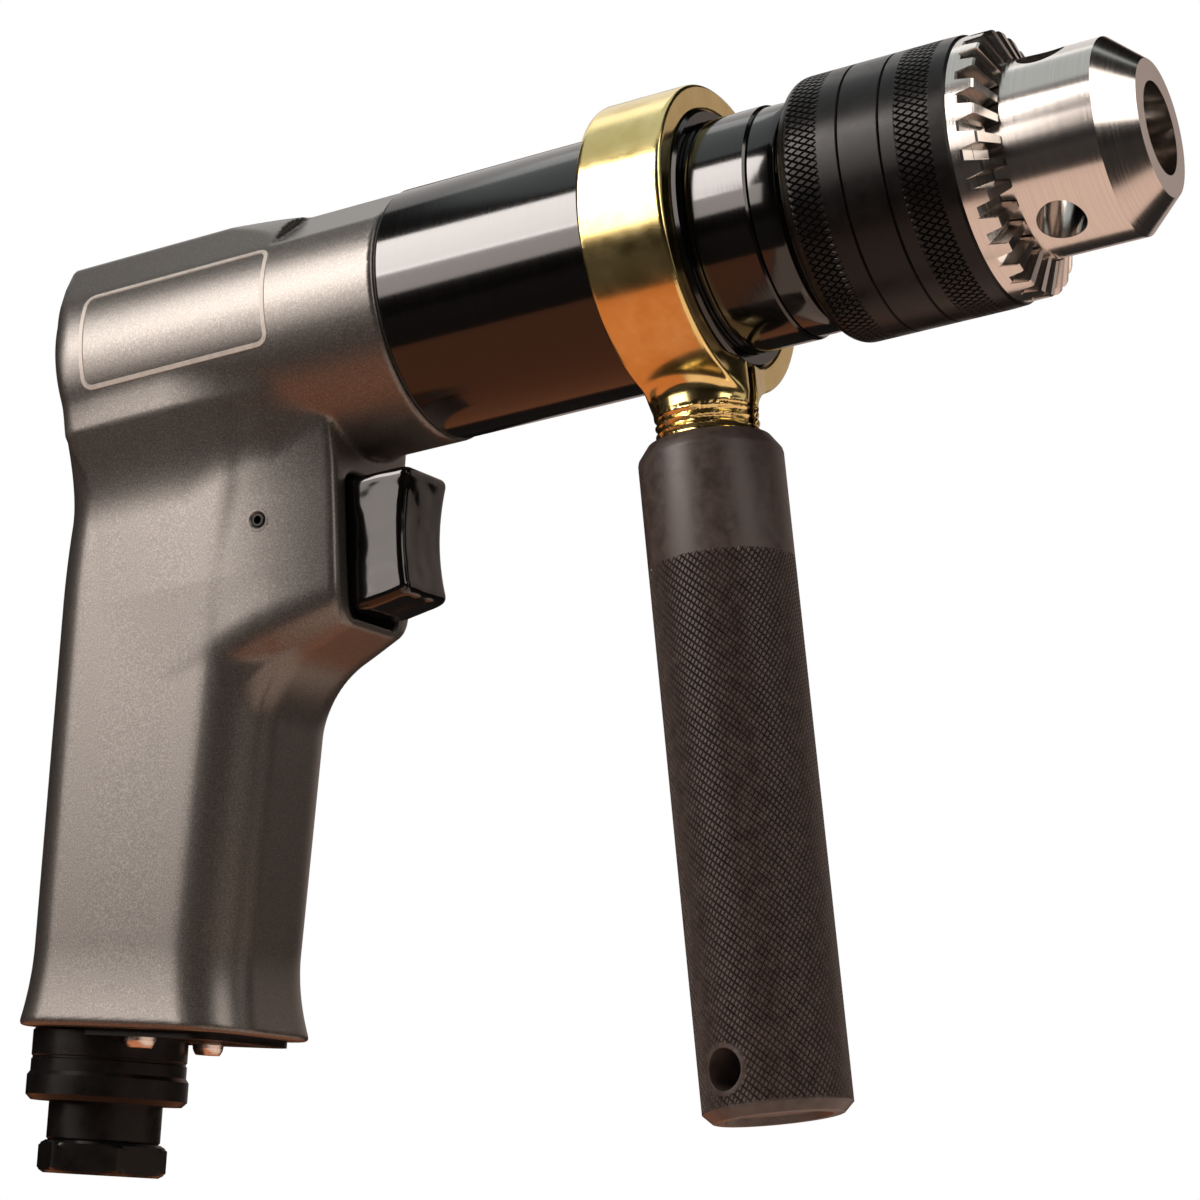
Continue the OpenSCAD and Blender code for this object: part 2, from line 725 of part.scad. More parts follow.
module first_carrier()
    color("slategray")
        difference() {
            union() {
                bar(first_carrier_at, first_carrier_end, carrier_r);
                along(second_planet_at - 0.3, first_carrier_at + 0.5)
                    gear_outline(sun_teeth);
            }
            pin_holes(first_carrier_at + 1, first_carrier_end + 1);
        }

module first_planet_pins()
    planet_pins(first_carrier_at + 1, first_planet_end + 0.2);

module first_planet(k)
    planet(first_planet_at, first_planet_end, planet_angles[k]);

module spindle()
    color("slategray")
        difference() {
            union() {
                bar(spindle_carrier_at, spindle_carrier_end, carrier_r);
                bar(nose_end + flange_l - 0.1, spindle_carrier_at + 0.1, spindle_r);
                bar(nose_end, nose_end + flange_l, flange_r);
                bar(nose_at, nose_end + 0.1, spindle_nose_r);
            }
            bar(nose_at - 1, nose_at + 12, screw_r + fit_gap);
            pin_holes(spindle_carrier_at + 1, spindle_carrier_end + 1);
        }

module second_planet_pins()
    planet_pins(spindle_carrier_at + 1, second_planet_end + 0.2);

module second_planet(k)
    planet(second_planet_at, second_planet_end, planet_angles[k]);

// Straight line of one jaw at its closed place, for holes and for the jaw itself
module jaw_bar(r, from, l)
    translate([jaw_tip_out, 0, jaw_axis_r])
        rotate([0, -90 + jaw_slope, 0])
            translate([0, 0, from])
                cylinder(r = r, h = l);

jaw_angles = [90, 210, 330];
module chuck_body()
    color("gainsboro")
        difference() {
            turned([[0, mouth_r], [0, nose_face_r], [nose_cone_l, nose_r],
                [nut_at - clear_gap, nose_r], [nut_at - clear_gap, groove_r],
                [nut_end + clear_gap, groove_r], [nut_end + clear_gap, body_r], [body_end, body_r],
                [body_end, spindle_nose_r + fit_gap], [nose_at, spindle_nose_r + fit_gap],
                [nose_at, screw_r + fit_gap], [mouth_floor, screw_r + fit_gap],
                [mouth_floor, inner_mouth_r], [mouth_l, inner_mouth_r], [mouth_l, mouth_r]]);
            for (angle = jaw_angles)
                rotate([angle, 0, 0])
                    jaw_bar(jaw_r + run_gap, 0, 80);
            for (angle = jaw_angles)
                rotate([angle + 60, 0, 0])
                    translate([-key_hole_at, 0, 0])
                        cylinder(r = key_hole_r, h = 2 * nose_r);
        }

module chuck_screw()
    color("#404040")
        difference() {
            union() {
                bar(mouth_floor - 2.5, mouth_floor, screw_r + 1.6);
                bar(mouth_floor - 0.1, nose_at + 11.5, screw_r);
            }
            translate([-mouth_floor + 1.6, -6, -0.6])
                cube([2, 12, 1.2]);
        }

sleeve_edge = 3.2;
function sleeve_line(at) = [[at - 0.3, sleeve_r - 0.2], [at, sleeve_r - 0.5], [at + 0.3, sleeve_r - 0.2]];
module chuck_sleeve()
    color("#1e1d1c")
        turned(concat([[sleeve_at, sleeve_bore_r], [sleeve_at, sleeve_r - 0.6]],
            [[sleeve_at + 0.8, sleeve_r - 0.1]],
            sleeve_line(sleeve_end - 15.5), sleeve_line(sleeve_end - 9.3),
            arc([sleeve_end - sleeve_edge * cos(15), sleeve_r - sleeve_edge], sleeve_edge, 90, 15, 6),
            [[sleeve_end, sleeve_bore_r]]));

// Gaps between the key gear's teeth: wedges that run to the point where the key's axis meets the spindle's
gap_r = gear_r + 3;
root_slope = (rim_at + tooth_depth - key_hole_at) / gear_r;
tip_slope = (rim_at - 0.6 - key_hole_at) / gear_r;
root_share = 0.47;
tip_share = 1.18;
module tooth_gap()
    let (half = gap_r * sin(90 / key_teeth),
        root = -key_hole_at - gap_r * root_slope,
        tip = -key_hole_at - gap_r * tip_slope)
    polyhedron([[-key_hole_at, 0, 0], [root, -half * root_share, gap_r], [root, half * root_share, gap_r],
        [tip, half * tip_share, gap_r], [tip, -half * tip_share, gap_r]],
        [[0, 2, 1], [0, 3, 2], [0, 4, 3], [0, 1, 4], [1, 2, 3, 4]]);

module key_gear()
    color("lightgray")
        difference() {
            turned([[rim_at - 1.2, nose_r + clear_gap], [rim_at, gear_r - 0.2], [rim_at + 0.2, gear_r],
                [sleeve_at, gear_r], [sleeve_at, sleeve_bore_r], [nut_at - fit_gap, sleeve_bore_r],
                [nut_at - fit_gap, nose_r + clear_gap]]);
            for (i = [0:key_teeth - 1])
                rotate([360 * i / key_teeth + 2, 0, 0])
                    tooth_gap();
        }

module chuck_nut()
    color("dimgray")
        turned([[nut_at, jaw_line(nut_at) + clear_gap], [nut_at, sleeve_bore_r - fit_gap],
            [nut_end, sleeve_bore_r - fit_gap], [nut_end, jaw_line(nut_end) + clear_gap]]);

// Jaw, drawn closed and then drawn back along its hole: its flats leave the other two jaws their room
module jaw(k)
    color("silver")
        rotate([jaw_angles[k], 0, 0])
            intersection() {
                translate(jaw_travel * [-cos(jaw_slope), 0, sin(jaw_slope)])
                    intersection() {
                        jaw_bar(jaw_r, -3, jaw_l + 3);
                        translate([jaw_tip_out, 0, 0])
                            rotate([0, -90, 0])
                                linear_extrude(60)
                                    polygon([for (p = [[jaw_grip_r, -1], [30, -1], [30, 1], [jaw_grip_r, 1]])
                                        [p[0], p[1] * (p[0] - 0.2) * tan(60)]]);
                    }
                bar(0, 80, body_r - clear_gap);
            }

module handle_clamp()
    color("#d8b24a")
        difference() {
            union() {
                turned([[clamp_at, case_r], [clamp_at, clamp_r - 0.8], [clamp_at + 0.8, clamp_r],
                    [clamp_at + clamp_w - 0.8, clamp_r], [clamp_at + clamp_w, clamp_r - 0.8],
                    [clamp_at + clamp_w, case_r]]);
                translate([-clamp_mid, 0, -stud_end])
                    cylinder(r = stud_r, h = stud_end - case_r + 1);
            }
            bar(clamp_at - 1, clamp_at + clamp_w + 1, case_r + run_gap);
            translate([-clamp_at - clamp_w - 5, -slot_w / 2, -stud_end - 1])
                cube([clamp_w + 10, slot_w, stud_end]);
        }
stud_end = handle_top + 14;

module side_handle()
    color("#19191a")
        difference() {
            translate([-clamp_mid, 0, 0])
                rotate([180, 0, 0])
                    rotate_extrude()
                        polygon([[stud_r + run_gap, handle_top], [handle_r - 1.6, handle_top],
                            [handle_r, handle_top + 2.4], [handle_r, handle_end - 1.5],
                            [handle_r - 1.5, handle_end],
                            [handle_r - 3.5, handle_end], [handle_r - 4, handle_end - 1], [0, handle_end - 1],
                            [0, stud_end + 2], [stud_r + run_gap, stud_end + 2]]);
            translate([-clamp_mid, 0, -handle_end + 7.5])
                rotate([0, 0, -17.6])
                    rotate([90, 0, 0])
                        cylinder(r = cross_hole_r, h = 3 * handle_r, center = true);
        }
handle_end = handle_top + handle_l;

housing();
motor_cylinder();
rear_end_plate();
front_end_plate();
rear_rotor_bearing();
front_rotor_bearing();
ring_gear();
gear_case();
case_seal();
rear_spindle_bearing();
front_spindle_bearing();
bearing_cap();
throttle_bushing();
roll_pin();
inlet_bushing();
inlet_fitting();
inlet_screen();
exhaust_plate();
exhaust_screws();
muffler_felt();
trigger();
valve_stem();
throttle_spring();
rotor();
rotor_vanes();
first_carrier();
first_planet_pins();
first_planet(0);  // first_planet_a
first_planet(1);  // first_planet_b
first_planet(2);  // first_planet_c
spindle();
second_planet_pins();
second_planet(0);  // second_planet_a
second_planet(1);  // second_planet_b
second_planet(2);  // second_planet_c
chuck_body();
chuck_screw();
chuck_sleeve();
key_gear();
chuck_nut();
jaw(0);  // jaw_a
jaw(1);  // jaw_b
jaw(2);  // jaw_c
handle_clamp();
side_handle();
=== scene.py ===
import json

import bmesh
import bpy
import numpy as np
from mathutils import Matrix


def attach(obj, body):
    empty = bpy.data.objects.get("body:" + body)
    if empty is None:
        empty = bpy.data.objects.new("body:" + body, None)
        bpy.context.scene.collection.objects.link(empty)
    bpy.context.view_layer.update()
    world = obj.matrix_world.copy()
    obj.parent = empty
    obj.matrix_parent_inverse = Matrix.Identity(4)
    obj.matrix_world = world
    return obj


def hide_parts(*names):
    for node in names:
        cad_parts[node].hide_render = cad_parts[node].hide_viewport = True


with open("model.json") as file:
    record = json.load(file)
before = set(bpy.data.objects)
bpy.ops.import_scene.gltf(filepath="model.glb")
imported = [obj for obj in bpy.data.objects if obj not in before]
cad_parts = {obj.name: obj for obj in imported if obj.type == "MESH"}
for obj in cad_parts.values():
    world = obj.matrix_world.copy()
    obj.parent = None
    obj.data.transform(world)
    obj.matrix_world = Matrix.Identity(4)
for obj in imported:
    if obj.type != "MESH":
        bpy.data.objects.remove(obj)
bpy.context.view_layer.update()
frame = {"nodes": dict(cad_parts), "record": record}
nodes = frame["nodes"]
mm = 0.001
print("frame loaded:", len(nodes), "nodes")

# camera: fitted to the round bodies of the drill, in millimetres and degrees
cameraSet = {
    "place": (147.279, -513.124, -195.922),
    "azimuth": 26.0875,
    "elevation": -13.8237,
    "roll": 5.4102,
    "focalPixels": 3595.0,
    "frameSize": 1200,
    "sensor": 36.0,
    "nearest": 20.0,
}


# place and turn of a camera or lamp, which looks against its third column
def standMatrix(right, up, back, place):
    turn = np.eye(4)
    turn[:3, 0], turn[:3, 1], turn[:3, 2], turn[:3, 3] = right, up, back, place
    return Matrix(turn.tolist())


def makeCamera(c):
    az, el, ro = np.radians([c["azimuth"], c["elevation"], c["roll"]])
    back = np.array([np.sin(az) * np.cos(el), -np.cos(az) * np.cos(el), np.sin(el)])
    side = np.cross([0, 0, 1], back)
    side /= np.linalg.norm(side)
    over = np.cross(back, side)
    right = np.cos(ro) * side - np.sin(ro) * over
    up = np.sin(ro) * side + np.cos(ro) * over
    data = bpy.data.cameras.new("camera")
    data.sensor_fit = "HORIZONTAL"
    data.sensor_width = c["sensor"]
    data.lens = c["focalPixels"] / c["frameSize"] * c["sensor"]
    data.clip_start = c["nearest"] * mm
    camera = bpy.data.objects.new("camera", data)
    camera.matrix_world = standMatrix(right, up, back, np.array(c["place"]) * mm)
    bpy.context.scene.collection.objects.link(camera)
    bpy.context.scene.camera = camera


makeCamera(cameraSet)
bpy.context.scene.view_settings.view_transform = "Standard"
print("camera set")


# materials

def linear(colour):
    c = np.array([int(colour[i:i + 2], 16) for i in (1, 3, 5)]) / 255
    c = np.where(c <= 0.04045, c / 12.92, ((c + 0.055) / 1.055) ** 2.4)
    return (*c.tolist(), 1.0)


# adds a node: settings go to its sockets or properties, "ramp" holds [stop, colour] pairs
def addNode(tree, kind, settings=None, links=None):
    node = tree.nodes.new(kind)
    for key, value in (settings or {}).items():
        if key == "ramp":
            while len(node.color_ramp.elements) < len(value):
                node.color_ramp.elements.new(0.5)
            for element, (stop, colour) in zip(node.color_ramp.elements, value):
                element.position, element.color = stop, linear(colour)
        elif key in node.inputs:
            node.inputs[key].default_value = value
        else:
            setattr(node, key, value)
    for key, socket in (links or {}).items():
        tree.links.new(socket, node.inputs[key])
    return node


def startMaterial(name, settings):
    material = bpy.data.materials.new(name)
    material.use_nodes = True
    tree = material.node_tree
    shader = tree.nodes["Principled BSDF"]
    for key, value in settings.items():
        shader.inputs[key].default_value = value
    place = addNode(tree, "ShaderNodeTexCoord").outputs["Object"]
    return material, tree, shader, place


# a pattern's value drives colour, gloss and relief of one shader
def dress(tree, shader, value, colours, rough, strength, depth):
    least, most = 0.3, 0.7  # a noise's value is seldom outside these
    stops = np.linspace(least, most, len(colours)).tolist()
    ramp = addNode(tree, "ShaderNodeValToRGB", {"ramp": list(zip(stops, colours))}, {"Fac": value})
    gloss = addNode(tree, "ShaderNodeMapRange", {"From Min": least, "From Max": most, "To Min": rough[0],
                                                 "To Max": rough[1]}, {"Value": value})
    bump = addNode(tree, "ShaderNodeBump", {"Strength": strength, "Distance": depth * mm}, {"Height": value})
    tree.links.new(ramp.outputs["Color"], shader.inputs["Base Color"])
    tree.links.new(gloss.outputs["Result"], shader.inputs["Roughness"])
    tree.links.new(bump.outputs["Normal"], shader.inputs["Normal"])


# metallic enamel on cast aluminium: fine bright flakes in grey, satin; flakes drawn coarser than life to show
def gunmetalEnamel():
    flake = 0.26
    material, tree, shader, place = startMaterial("gunmetalEnamel", {"Metallic": 0.88, "Coat Weight": 0.08,
                                                                      "Coat Roughness": 0.3})
    fine = addNode(tree, "ShaderNodeTexNoise", {"Scale": 1 / (flake * mm), "Detail": 2.0, "Roughness": 0.6},
                   {"Vector": place})
    dress(tree, shader, fine.outputs["Fac"], ["#5c5a57", "#686562", "#7c7975"], (0.31, 0.38), 0.07, 0.05)
    return material


# turned metal: lines across the lathe axis, drawn coarser than the real feed so that they show
def turnedMetal(name, settings, colours, axis, feed, strength, rough):
    material, tree, shader, place = startMaterial(name, settings)
    stretch = np.full(3, 6.0)  # per metre round the axis, so a line hardly changes on its way round
    stretch["XYZ".index(axis)] = 1 / (feed * mm)
    lined = addNode(tree, "ShaderNodeMapping", {"Scale": stretch.tolist()}, {"Vector": place})
    lines = addNode(tree, "ShaderNodeTexNoise", {"Scale": 1.0, "Detail": 3.0, "Roughness": 0.65},
                    {"Vector": lined.outputs["Vector"]})
    dress(tree, shader, lines.outputs["Fac"], colours, rough, strength, 0.02)
    return material


# mottled surface: soft spots of one size
def mottled(name, settings, colours, size, strength, rough, depth=0.1, detail=4.0):
    material, tree, shader, place = startMaterial(name, settings)
    grain = {"Scale": 1 / (size * mm), "Detail": detail, "Roughness": 0.6}
    spots = addNode(tree, "ShaderNodeTexNoise", grain, {"Vector": place})
    dress(tree, shader, spots.outputs["Fac"], colours, rough, strength, depth)
    return material


looks = {
    "gunmetal_paint": gunmetalEnamel(),
    # blued steel: near black under a hard glossy oxide
    "blued_steel": turnedMetal("bluedSteel", {"IOR": 1.6}, ["#030303", "#070606"], "X", 0.4, 0.12,
                               (0.09, 0.14)),
    # black oxide on steel: brown-black, satin, worn paler in spots
    "black_oxide": mottled("blackOxideSteel", {"IOR": 1.3}, ["#070606", "#0c0b0b"], 3.0, 0.08, (0.26, 0.36)),
    # phosphated steel: dull brown-black, rougher and paler than the oxide
    "phosphate": mottled("phosphatedSteel", {"IOR": 1.4}, ["#2a2321", "#3b3330"], 2.0, 0.1, (0.34, 0.46)),
    # ground steel: bright, with the wheel's fine lines round it
    "ground_steel": turnedMetal("groundSteel", {"Metallic": 1.0}, ["#c6c0bb", "#d5d0cb"], "X", 0.3, 0.06,
                                (0.14, 0.21)),
    # machined steel: greyer, with the tool's lines plain to see
    "machined_steel": turnedMetal("machinedSteel", {"Metallic": 1.0}, ["#8a8784", "#b5b1ad"], "X", 0.5, 0.2,
                                  (0.25, 0.4)),
    # cast brass, linished: soft waves in the polish and a few dull spots
    "cast_brass": mottled("linishedBrass", {"Metallic": 1.0}, ["#dfc680", "#efdb9b"], 5.0, 0.05,
                          (0.14, 0.22)),
    # turned brass: darker and duller than the clamp's
    "bushing_brass": mottled("turnedBrass", {"Metallic": 1.0}, ["#a9803a", "#c39a4c"], 2.0, 0.05,
                             (0.25, 0.4)),
    # moulded black nylon, glossy with slight sink marks
    "black_plastic": mottled("mouldedNylon", {"IOR": 1.53}, ["#050505", "#090808"], 7.0, 0.8, (0.08, 0.13),
                             0.6, 1.0),
    # nitrile rubber: dull black with a green cast
    "black_rubber": mottled("nitrileRubber", {"IOR": 1.5}, ["#0a0c0b", "#121514"], 1.0, 0.1, (0.45, 0.6)),
    # zinc plate: bright and slightly cloudy
    "zinc": mottled("zincPlate", {"Metallic": 1.0}, ["#c8c2bb", "#e4dfd9"], 0.8, 0.08, (0.2, 0.35)),
    # ground iron: mid grey with a fine grain
    "cast_liner": mottled("groundIron", {"Metallic": 1.0}, ["#6d6a68", "#8b8784"], 0.8, 0.1, (0.3, 0.45)),
    # machined aluminium: pale grey, soft shine
    "end_plate_alloy": mottled("machinedAluminium", {"Metallic": 1.0}, ["#a5a3a1", "#c2bfbc"], 1.0, 0.05,
                               (0.3, 0.42)),
    # milled rim of the plate: bare alloy, dull and pale
    "rim": mottled("milledAluminium", {"Metallic": 0.6}, ["#98938e", "#aaa59f"], 1.0, 0.05, (0.5, 0.6)),
    # cloth laminate: brown, with the weave's uneven tone
    "vane_laminate": mottled("clothLaminate", {"IOR": 1.55}, ["#5a3a1e", "#7a5230"], 0.6, 0.2, (0.5, 0.65)),
    # wool felt: tan, matt and fluffy
    "felt": mottled("woolFelt", {"IOR": 1.5}, ["#8d7a5e", "#b09a78"], 0.5, 0.6, (0.85, 0.95)),
}
for part in frame["record"]["subparts"]:
    mesh = nodes[part["node"]].data
    mesh.materials.clear()
    mesh.materials.append(looks[part["material_slot"]])
print("materials made:", len(looks))


# meshes: sizes in millimetres, angles in degrees, distances behind the chuck's nose, depths below its axis

# points in millimetres become a merged, outward mesh that rides a body in place of a CAD node
def makePiece(name, points, faces, body, replaced, slot, sharp=35.0, look=None):
    merge = 0.0005 * mm
    mesh = bpy.data.meshes.new(name)
    mesh.from_pydata((np.asarray(points) * mm).tolist(), [], np.asarray(faces).tolist())
    work = bmesh.new()
    work.from_mesh(mesh)
    bmesh.ops.remove_doubles(work, verts=work.verts, dist=merge)
    bmesh.ops.dissolve_degenerate(work, edges=work.edges, dist=merge)
    bmesh.ops.recalc_face_normals(work, faces=work.faces)
    work.to_mesh(mesh)
    work.free()
    mesh.shade_smooth()
    mesh.set_sharp_from_angle(angle=np.radians(sharp))
    piece = bpy.data.objects.new(name, mesh)
    bpy.context.scene.collection.objects.link(piece)
    mesh.materials.append(looks[look or slot])
    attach(piece, body)
    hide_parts(replaced)
    print("made", name, len(mesh.polygons))


# quads between neighbours of a grid of points, wrapped round where the grid closes
def gridFaces(rows, columns, closeRows, closeColumns):
    i = np.arange(rows if closeRows else rows - 1)[:, None]
    j = np.arange(columns if closeColumns else columns - 1)[None, :]
    a = i * columns + j
    b = i * columns + (j + 1) % columns
    c = (i + 1) % rows * columns + (j + 1) % columns
    d = (i + 1) % rows * columns + j
    return np.stack([a, b, c, d], -1).reshape(-1, 4)


def fullTurn(steps):
    return np.linspace(0, 2 * np.pi, steps, endpoint=False)


# points of a surface turned about the barrel axis: distance behind the nose and radius, over the angle
def aboutBarrel(at, r, angle):
    return np.stack([-at + 0 * r, r * np.sin(angle), r * np.cos(angle)], -1).reshape(-1, 3)


# points turned about an upright axis through the clamp's middle: depth below the barrel axis and radius
def aboutHandle(depth, r, angle, middle):
    return np.stack([-middle + r * np.cos(angle), r * np.sin(angle), -depth + 0 * r], -1).reshape(-1, 3)


# an arc of a turned outline, as [place, radius] points
def arc(centre, r, start, end, steps=8):
    a = np.radians(np.linspace(start, end, steps + 1))
    return (np.array(centre) + r * np.stack([np.cos(a), np.sin(a)], -1)).tolist()


# closed outline [distance, radius] turned about the barrel axis
def turned(name, outline, body, replaced, slot, segments=160, sharp=25.0):
    at, r = np.array(outline, float).T
    angle = fullTurn(segments)
    points = aboutBarrel(at[:, None], r[:, None] + 0 * angle, angle[None, :])
    makePiece(name, points, gridFaces(len(at), segments, True, True), body, replaced, slot, sharp)


# moves points on to the zero of a field by value / slope, and gives the directions in which it grows there
def ontoField(field, points, reach):
    leastSlope = 0.05  # squared, so that a flat field throws no point away
    h = reach * 0.2
    for again in range(3):
        x, y, z = points.T
        slope = np.stack([field(x + h, y, z) - field(x - h, y, z), field(x, y + h, z) - field(x, y - h, z),
                          field(x, y, z + h) - field(x, y, z - h)], -1) / (2 * h)
        size = np.maximum((slope ** 2).sum(-1), leastSlope)
        points = points - np.clip(field(x, y, z) / size, -reach, reach)[:, None] * slope
    return points, slope / np.sqrt(size)[:, None]


# surface where a field of distances is zero: one point in each crossed cell, then moved on to the zero
def netSurface(field, low, high, step):
    axes = [np.arange(a, b + step, step) for a, b in zip(low, high)]
    x, y, z = np.meshgrid(*axes, indexing="ij", sparse=True)
    value = field(x, y, z)
    inside = value < 0
    cells = tuple(np.array(value.shape) - 1)
    total = np.zeros((*cells, 3))
    count = np.zeros(cells)

    def corner(grid, offset):
        return grid[tuple(slice(o, o + n) for o, n in zip(offset, cells))]

    for axis in range(3):
        for p in (0, 1):
            for q in (0, 1):
                start = np.insert([p, q], axis, 0)
                end = np.insert([p, q], axis, 1)
                f0, f1 = corner(value, start), corner(value, end)
                crossed = corner(inside, start) != corner(inside, end)
                t = np.where(crossed, f0 / np.where(crossed, f0 - f1, 1), 0)
                for k in range(3):
                    total[..., k] += np.where(crossed, start[k] + (t if k == axis else 0), 0)
                count += crossed
    live = count > 0
    index = np.full(cells, -1)
    index[live] = np.arange(live.sum())
    points = np.array(low) + (np.argwhere(live) + total[live] / count[live][:, None]) * step
    unit = np.eye(3, dtype=int)
    faces = []
    for axis in range(3):
        u, v = unit[(axis + 1) % 3], unit[(axis + 2) % 3]
        first = [slice(1, -1)] * 3
        first[axis] = slice(0, -1)
        second = list(first)
        second[axis] = slice(1, None)
        change = inside[tuple(first)] != inside[tuple(second)]
        spots = np.argwhere(change) + np.insert([1, 1], axis, 0)
        ring = [spots - u - v, spots - v, spots, spots - u]
        faces.append(np.stack([index[tuple(c.T)] for c in ring], -1))
    return ontoField(field, points, step)[0], np.concatenate(faces)


# the smaller of two fields, with a fillet where they differ by less than k
def softMin(a, b, k):
    h = np.clip(0.5 + 0.5 * (b - a) / k, 0, 1)
    return b * (1 - h) + a * h - k * h * (1 - h)


# the larger of two fields, with a rounded edge
def softMax(a, b, k):
    return -softMin(-a, -b, k)


# 0 up to start, 1 from end on, a straight rise between
def fadeIn(value, start, end):
    return np.clip((value - start) / (end - start), 0, 1)


# housing: a round head with two shoulders on top, a raked grip of rounded rectangles, and a trigger boss;
# a pair says between which distances, depths or heights a change takes place
housing = {
    # head
    "headAt": 129.5, "headEnd": 194.9, "headR": 22.0, "collarLine": 150.5, "collarUnder": 2.0,
    "flatTilt": 32.6, "flatOut": 20.42, "shoulderAngle": 31.0, "shoulderR": 23.6, "shoulderEdge": 1.2,
    "coneSlope": 0.142, "frontEdge": 0.6, "rearLean": 0.03, "rearEdge": 4.4, "topSharper": 2.6,
    "topHeights": (8.0, 16.0),
    # grip
    "gripAt": 185.75, "rake": 9.6, "foot": 114.0, "gripBack": 10.05, "gripFront": 31.75, "halfWidth": 16.5,
    "taper": 0.035, "neckEnd": 42.0, "neck": 0.00326, "frontCorner": 10.5, "rearCorner": 8.5, "crown": 0.0012,
    "flare": 3.6, "flareLength": 14.0, "flareFront": 0.7, "flareRear": 0.42, "flareSide": 0.25,
    "footEdge": 1.2,
    # boss
    "bossAt": 145.5, "bossEnd": 190.0, "bossTop": -8.0, "bossHalf": 12.1, "bossLean": 0.052,
    "leanFrom": -33.0, "bossEdge": 1.2,
    "sideEnd": 174.0, "sideHalf": 16.75, "sidePower": 1.85, "sideSlope": 0.3, "sideFade": (174.0, 194.0),
    "topSpread": 1.4, "spreadHeights": (-30.0, -18.0), "lowSink": 0.6, "sinkDepths": (42.0, 60.0),
    "sinkReach": (158.0, 168.0), "bossLow": 51.9, "bossSlope": 0.39, "lowEdge": 6.0, "lowEdgeMore": 3.0,
    "lowEdgeReach": (145.5, 160.5),
    # fillets between them
    "gripFillet": 0.5, "underFillet": 6.5, "underBlend": 3.0, "underDepths": (46.0, 52.0),
    "underHalves": (10.5, 15.5),
    "headFillet": 0.8, "bossFillet": 5.7, "bossFilletReach": (145.5, 155.5), "rearFillet": 4.5,
    "rearFilletReach": (160.0, 172.0), "rearFilletEnd": (191.0, 199.0), "filletDepths": (2.0, 12.0),
    # trigger pocket and motor bore
    "pocketHalf": 8.2, "pocketTop": -26.2, "pocketLow": -51.2, "pocketEnd": 154.5, "pocketCorner": 3.0,
    "pocketFloor": 0.5, "boreR": 19.16, "boreEnd": 191.0, "mouthEdge": 0.8,
    # flare and boss go on growing this share past their ends; the net's box and step
    "beyond": 1.2, "boxLow": (-222, -25, -126), "boxHigh": (-128, 25, 28), "step": 0.68,
}


# head: the hull of a circle and a small circle at each shoulder, cut by a cone towards the flattened collar
def headField(x, y, z, c):
    d = -x
    across = np.abs(y)
    r = np.hypot(y, z)
    turn = np.radians(c["shoulderAngle"])
    out = across * np.sin(turn) + z * np.cos(turn)
    off = np.abs(across * np.cos(turn) - z * np.sin(turn))
    h = c["shoulderR"] - c["shoulderEdge"]
    b = (c["headR"] - c["shoulderEdge"]) / h
    a = np.sqrt(1 - b * b)
    k = a * out - b * off
    flank = np.where(k > a * h, np.hypot(off, out - h) - c["shoulderEdge"], a * off + b * out - c["headR"])
    hull = np.where(k < 0, r - c["headR"], flank)
    cone = (r - c["headR"] - c["coneSlope"] * (d - c["collarLine"])) / np.hypot(1, c["coneSlope"])
    shoulders = np.maximum(np.maximum(hull, cone), c["collarLine"] - d)
    tilt = np.radians(c["flatTilt"])
    flat = across * np.sin(tilt) + z * np.cos(tilt) - c["flatOut"]
    collar = np.maximum(np.maximum(r - c["headR"], flat), d - c["collarLine"] - c["collarUnder"])
    rearEdge = c["rearEdge"] - c["topSharper"] * fadeIn(z, *c["topHeights"])
    body = softMax(np.minimum(shoulders, collar), d - c["headEnd"] - c["rearLean"] * z, rearEdge)
    return softMax(body, c["headAt"] - d, c["frontEdge"])


# grip: rectangles with larger corners in front than behind, across a raked axis, flared at the foot
def gripField(x, y, z, c):
    rake = np.radians(c["rake"])
    u = (x + c["gripAt"]) * np.cos(rake) - z * np.sin(rake)
    s = -(x + c["gripAt"]) * np.sin(rake) - z * np.cos(rake)
    flareFrom = c["foot"] - c["flareLength"]
    flare = c["flare"] * np.clip((s - flareFrom) / c["flareLength"], 0, c["beyond"]) ** 2
    front = c["gripFront"] + c["taper"] * np.maximum(0, flareFrom - s) + c["flareFront"] * flare
    rear = c["gripBack"] - c["neck"] * np.maximum(0, c["neckEnd"] - s) ** 2 + c["flareRear"] * flare
    half = c["halfWidth"] + c["flareSide"] * flare
    along = u - (front - rear) / 2
    corner = np.where(along > 0, c["frontCorner"], c["rearCorner"])
    overU = np.abs(along) - (front + rear) / 2 + corner
    overY = np.abs(y) - half + c["crown"] * along ** 2 + corner
    outside = np.hypot(np.maximum(overU, 0), np.maximum(overY, 0))
    section = outside + np.minimum(np.maximum(overU, overY), 0) - corner
    return np.maximum(softMax(section, s - c["foot"], c["footEdge"]), -s)


